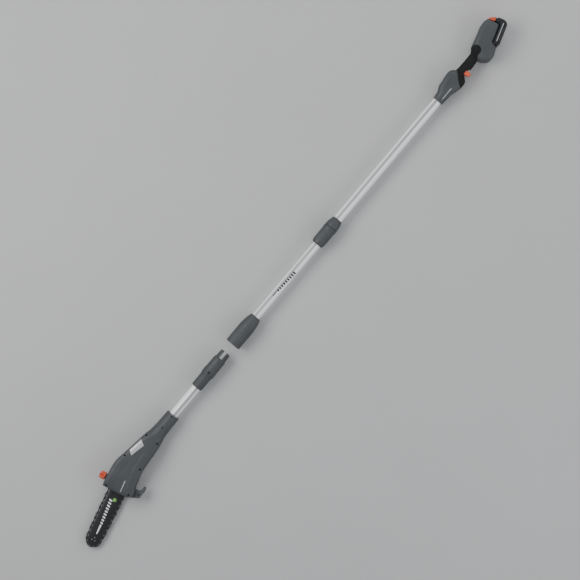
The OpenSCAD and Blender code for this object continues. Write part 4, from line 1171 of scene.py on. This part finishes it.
BATTERY_TABLE = [
    (6, 11.2, 7.2, -9.6, 39.6, 39.6, 4, 4),
    (12, 11.4, 12, -11.5, 40, 40, 5.5, 5.5),
    (40, 11.4, 42, -11.5, 40, 40, 6, 6),
    (62, 11.4, 68, -11.5, 40, 40, 6, 6),
    (72, 11.6, 79, -11.3, 40, 40, 6.5, 6.5),
    (75, 13.6, 86.4, -8.2, 40, 40, 7, 7),
    (76.3, 17, 91.4, -2, 40, 40, 7, 7),
    (76.7, 22, 94.4, 9, 40, 40, 7, 7),
    (77, 29, 94.4, 23, 40, 40, 7, 7),
    (77.3, 38, 90.8, 36, 39.6, 39.6, 6.5, 6.5),
    (77.8, 46, 86.2, 45, 38.6, 38.6, 5, 5),
    (78.2, 49.4, 83.2, 48.8, 37.6, 37.6, 3, 3),
]


def battery_relief(x, y, v, half):
    """Grip ribs on the rear end of the battery's sides."""
    ridge = 0.5 + 0.5 * cos(2 * pi * y / 4.6)
    return -0.9 * zone(y, 20, 24, 40, 44) * ridge


def latch_axis(z):
    """The line along which the latch moves, at depth z; lathe profiles on it count from the deck."""
    return Matrix.Translation((84, 26, z)) @ TO_Y


latch_room = block((74, 26.5, -44), (104, 64, 44))
post = lathe([(-0.6, 0), (-0.6, 3), (10.2, 3), (11, 2.2), (11, 0)], sides=32, closed=False)
posts = [moved(post, latch_axis(z)) for z in (26, -26)]
rails = [block((8, 9.5, z - 1.6), (68, 14.8, z + 1.6)) for z in (-24, 24)]
contact_slots = [block((-2, 8.2, z - 1.3), (36.2, 13, z + 1.3)) for z in (-8, 0, 8)]
battery_loft = dict(sides=(1, -1), start=3, end=2, crown=0.4, relief=battery_relief, seam=0.3, top=24)
battery_rows = eased_rows(BATTERY_TABLE, 110)
piece("battery_case_moulding", loft(battery_rows, **battery_loft), BATTERY, "black_plastic", "battery",
      ["battery_case"], cuts=[loft(battery_rows, wall=2.2, **battery_loft), latch_room, *contact_slots])
foot = [(79.8, 24.6), (92.4, 24.6), (92.4, 26.2), (89.7, 26.8), (89.7, 32.4), (79.8, 32.4)]
pedestal = plate(rounded(foot, 0.3), -35.6, 35.6, 0.4, steps=2)
spring_well = moved(lathe([(3.6, 0), (3.6, 4.4), (9, 4.4), (9, 0)], sides=32, closed=False), latch_axis(0))
piece("battery_latch_pedestal", pedestal, BATTERY, "black_plastic", "battery", cuts=[spring_well])
piece("battery_deck", block((77.0, 24.2, -38.2), (94.0, 26.5, 38.2)), BATTERY, "black_plastic", "battery",
      bevel=0.4)
piece("battery_latch_posts", together(*posts), BATTERY, "black_plastic", "battery")
piece("battery_rails", together(*rails), BATTERY, "black_plastic", "battery", bevel=0.4)
stripe = arc((17, 2.5), 1.2, 90, 270, 6) + arc((81, 2.5), 1.2, -90, 90, 6)
side_trim = [plate(stripe, *span(side, 39, 40.35), 0.3, steps=2) for side in (1, -1)]
piece("battery_accent_line", together(*side_trim), BATTERY, "silver_plate", "battery")
hatch = []
for side in (1, -1):
    for x in (22 + 3.4 * k for k in range(14)):
        dash = ((x, -6.4), (x + 1.1, -6.4), (x + 3.1, -2.8), (x + 2.0, -2.8))
        hatch.append(plate(dash, *span(side, 39.2, 40.3), 0.2, steps=1))
piece("battery_grip_hatch", together(*hatch), BATTERY, "grey_plastic", "battery")

LATCH = rounded([(77.9, 32), (77.9, 52.6), (80.2, 55), (83, 53.4), (88.8, 42), (92, 32)], 2.4, steps=5)
latch_tongue = plate(rounded([(71.2, 41.5), (71.2, 44.4), (79, 46), (79, 41.5)], 0.6), -8, 8, 0.5, steps=2)
bores = ((0, 5.2, 5, 8.4), (26, 3.3, 5, 16), (-26, 3.3, 5, 16), (0, 4.2, 8, 15))
latch_cuts = [moved(lathe([(low, 0), (low, radius), (top, radius), (top, 0)], sides=32, closed=False),
                    latch_axis(z)) for z, radius, low, top in bores]
latch_cuts.append(block((79.2, 31, -36.1), (90.4, 37.0, 36.1)))
for k in range(6):
    spot = Vector((91.2, 34.6)).lerp(Vector((84.6, 50.8)), (k + 0.5) / 6)
    latch_cuts.append(drum(spot.x + 0.6, spot.y + 0.3, -30, 30, 0.8, sides=12))
piece("battery_latch_button", plate(LATCH, -36.8, 36.8, 2.2, steps=5), BATTERY, "orange_plastic",
      "battery_latch", ["battery_latch"], cuts=latch_cuts)
piece("battery_latch_tongue", latch_tongue, BATTERY, "orange_plastic", "battery_latch")

# ---- camera, floor and light

VIEW_TURN = radians(-49.9)
VIEW_WIDTH = 1.972
VIEW_FROM = 6.0
target = Vector((-0.0255, -0.0145, pole_at.z))

camera_data = bpy.data.cameras.new("camera")
camera_data.sensor_width = 36
camera_data.lens = 36 * VIEW_FROM / VIEW_WIDTH
camera_data.clip_end = 50
camera = bpy.data.objects.new("camera", camera_data)
camera.location = target + Vector((0, 0, VIEW_FROM))
camera.rotation_euler = (0, 0, VIEW_TURN)
bpy.context.scene.collection.objects.link(camera)
bpy.context.scene.camera = camera

floor_mesh = bpy.data.meshes.new("floor")
FLOOR_HALF, FLOOR_DROP = 14, 0.0006
floor_corners = [(x * FLOOR_HALF, y * FLOOR_HALF, -FLOOR_DROP)
                 for x, y in ((-1, -1), (1, -1), (1, 1), (-1, 1))]
floor_mesh.from_pydata(floor_corners, [], [(0, 1, 2, 3)])
floor = bpy.data.objects.new("floor", floor_mesh)
bpy.context.scene.collection.objects.link(floor)
floor_shader = Shader("floor_paint", specular=0.2)
floor_shader.colour(floor_shader.mixed(floor_shader.noise(3, 2), (0.47, 0.47, 0.47), (0.50, 0.50, 0.50)))
floor_shader.rough(floor_shader.ranged(floor_shader.noise(20, 2), 0.3, 0.7, 0.7, 0.85))
floor_mesh.materials.append(floor_shader.material)

world = bpy.data.worlds.new("studio")
world.use_nodes = True
world.node_tree.nodes["Background"].inputs["Color"].default_value = (0.95, 0.97, 1.0, 1)
world.node_tree.nodes["Background"].inputs["Strength"].default_value = 0.55
bpy.context.scene.world = world


def soft_light(name, spot, aim, size, power, colour=(1, 1, 1)):
    data = bpy.data.lights.new(name, "AREA")
    data.shape = "RECTANGLE"
    data.size, data.size_y = size
    data.energy = power
    data.color = colour
    light = bpy.data.objects.new(name, data)
    light.location = spot
    light.rotation_euler = (Vector(aim) - Vector(spot)).to_track_quat("-Z", "Y").to_euler()
    bpy.context.scene.collection.objects.link(light)


soft_light("key", (-0.6, 1.9, 2.4), (0, 0, 0), (2.6, 1.6), 62)
soft_light("fill", (0.8, -2.2, 1.8), (0, 0, 0), (3.0, 1.2), 24, (0.96, 0.98, 1.0))
soft_light("far_end", (2.6, 0.6, 1.4), (0.6, 0, 0), (1.4, 1.4), 16)
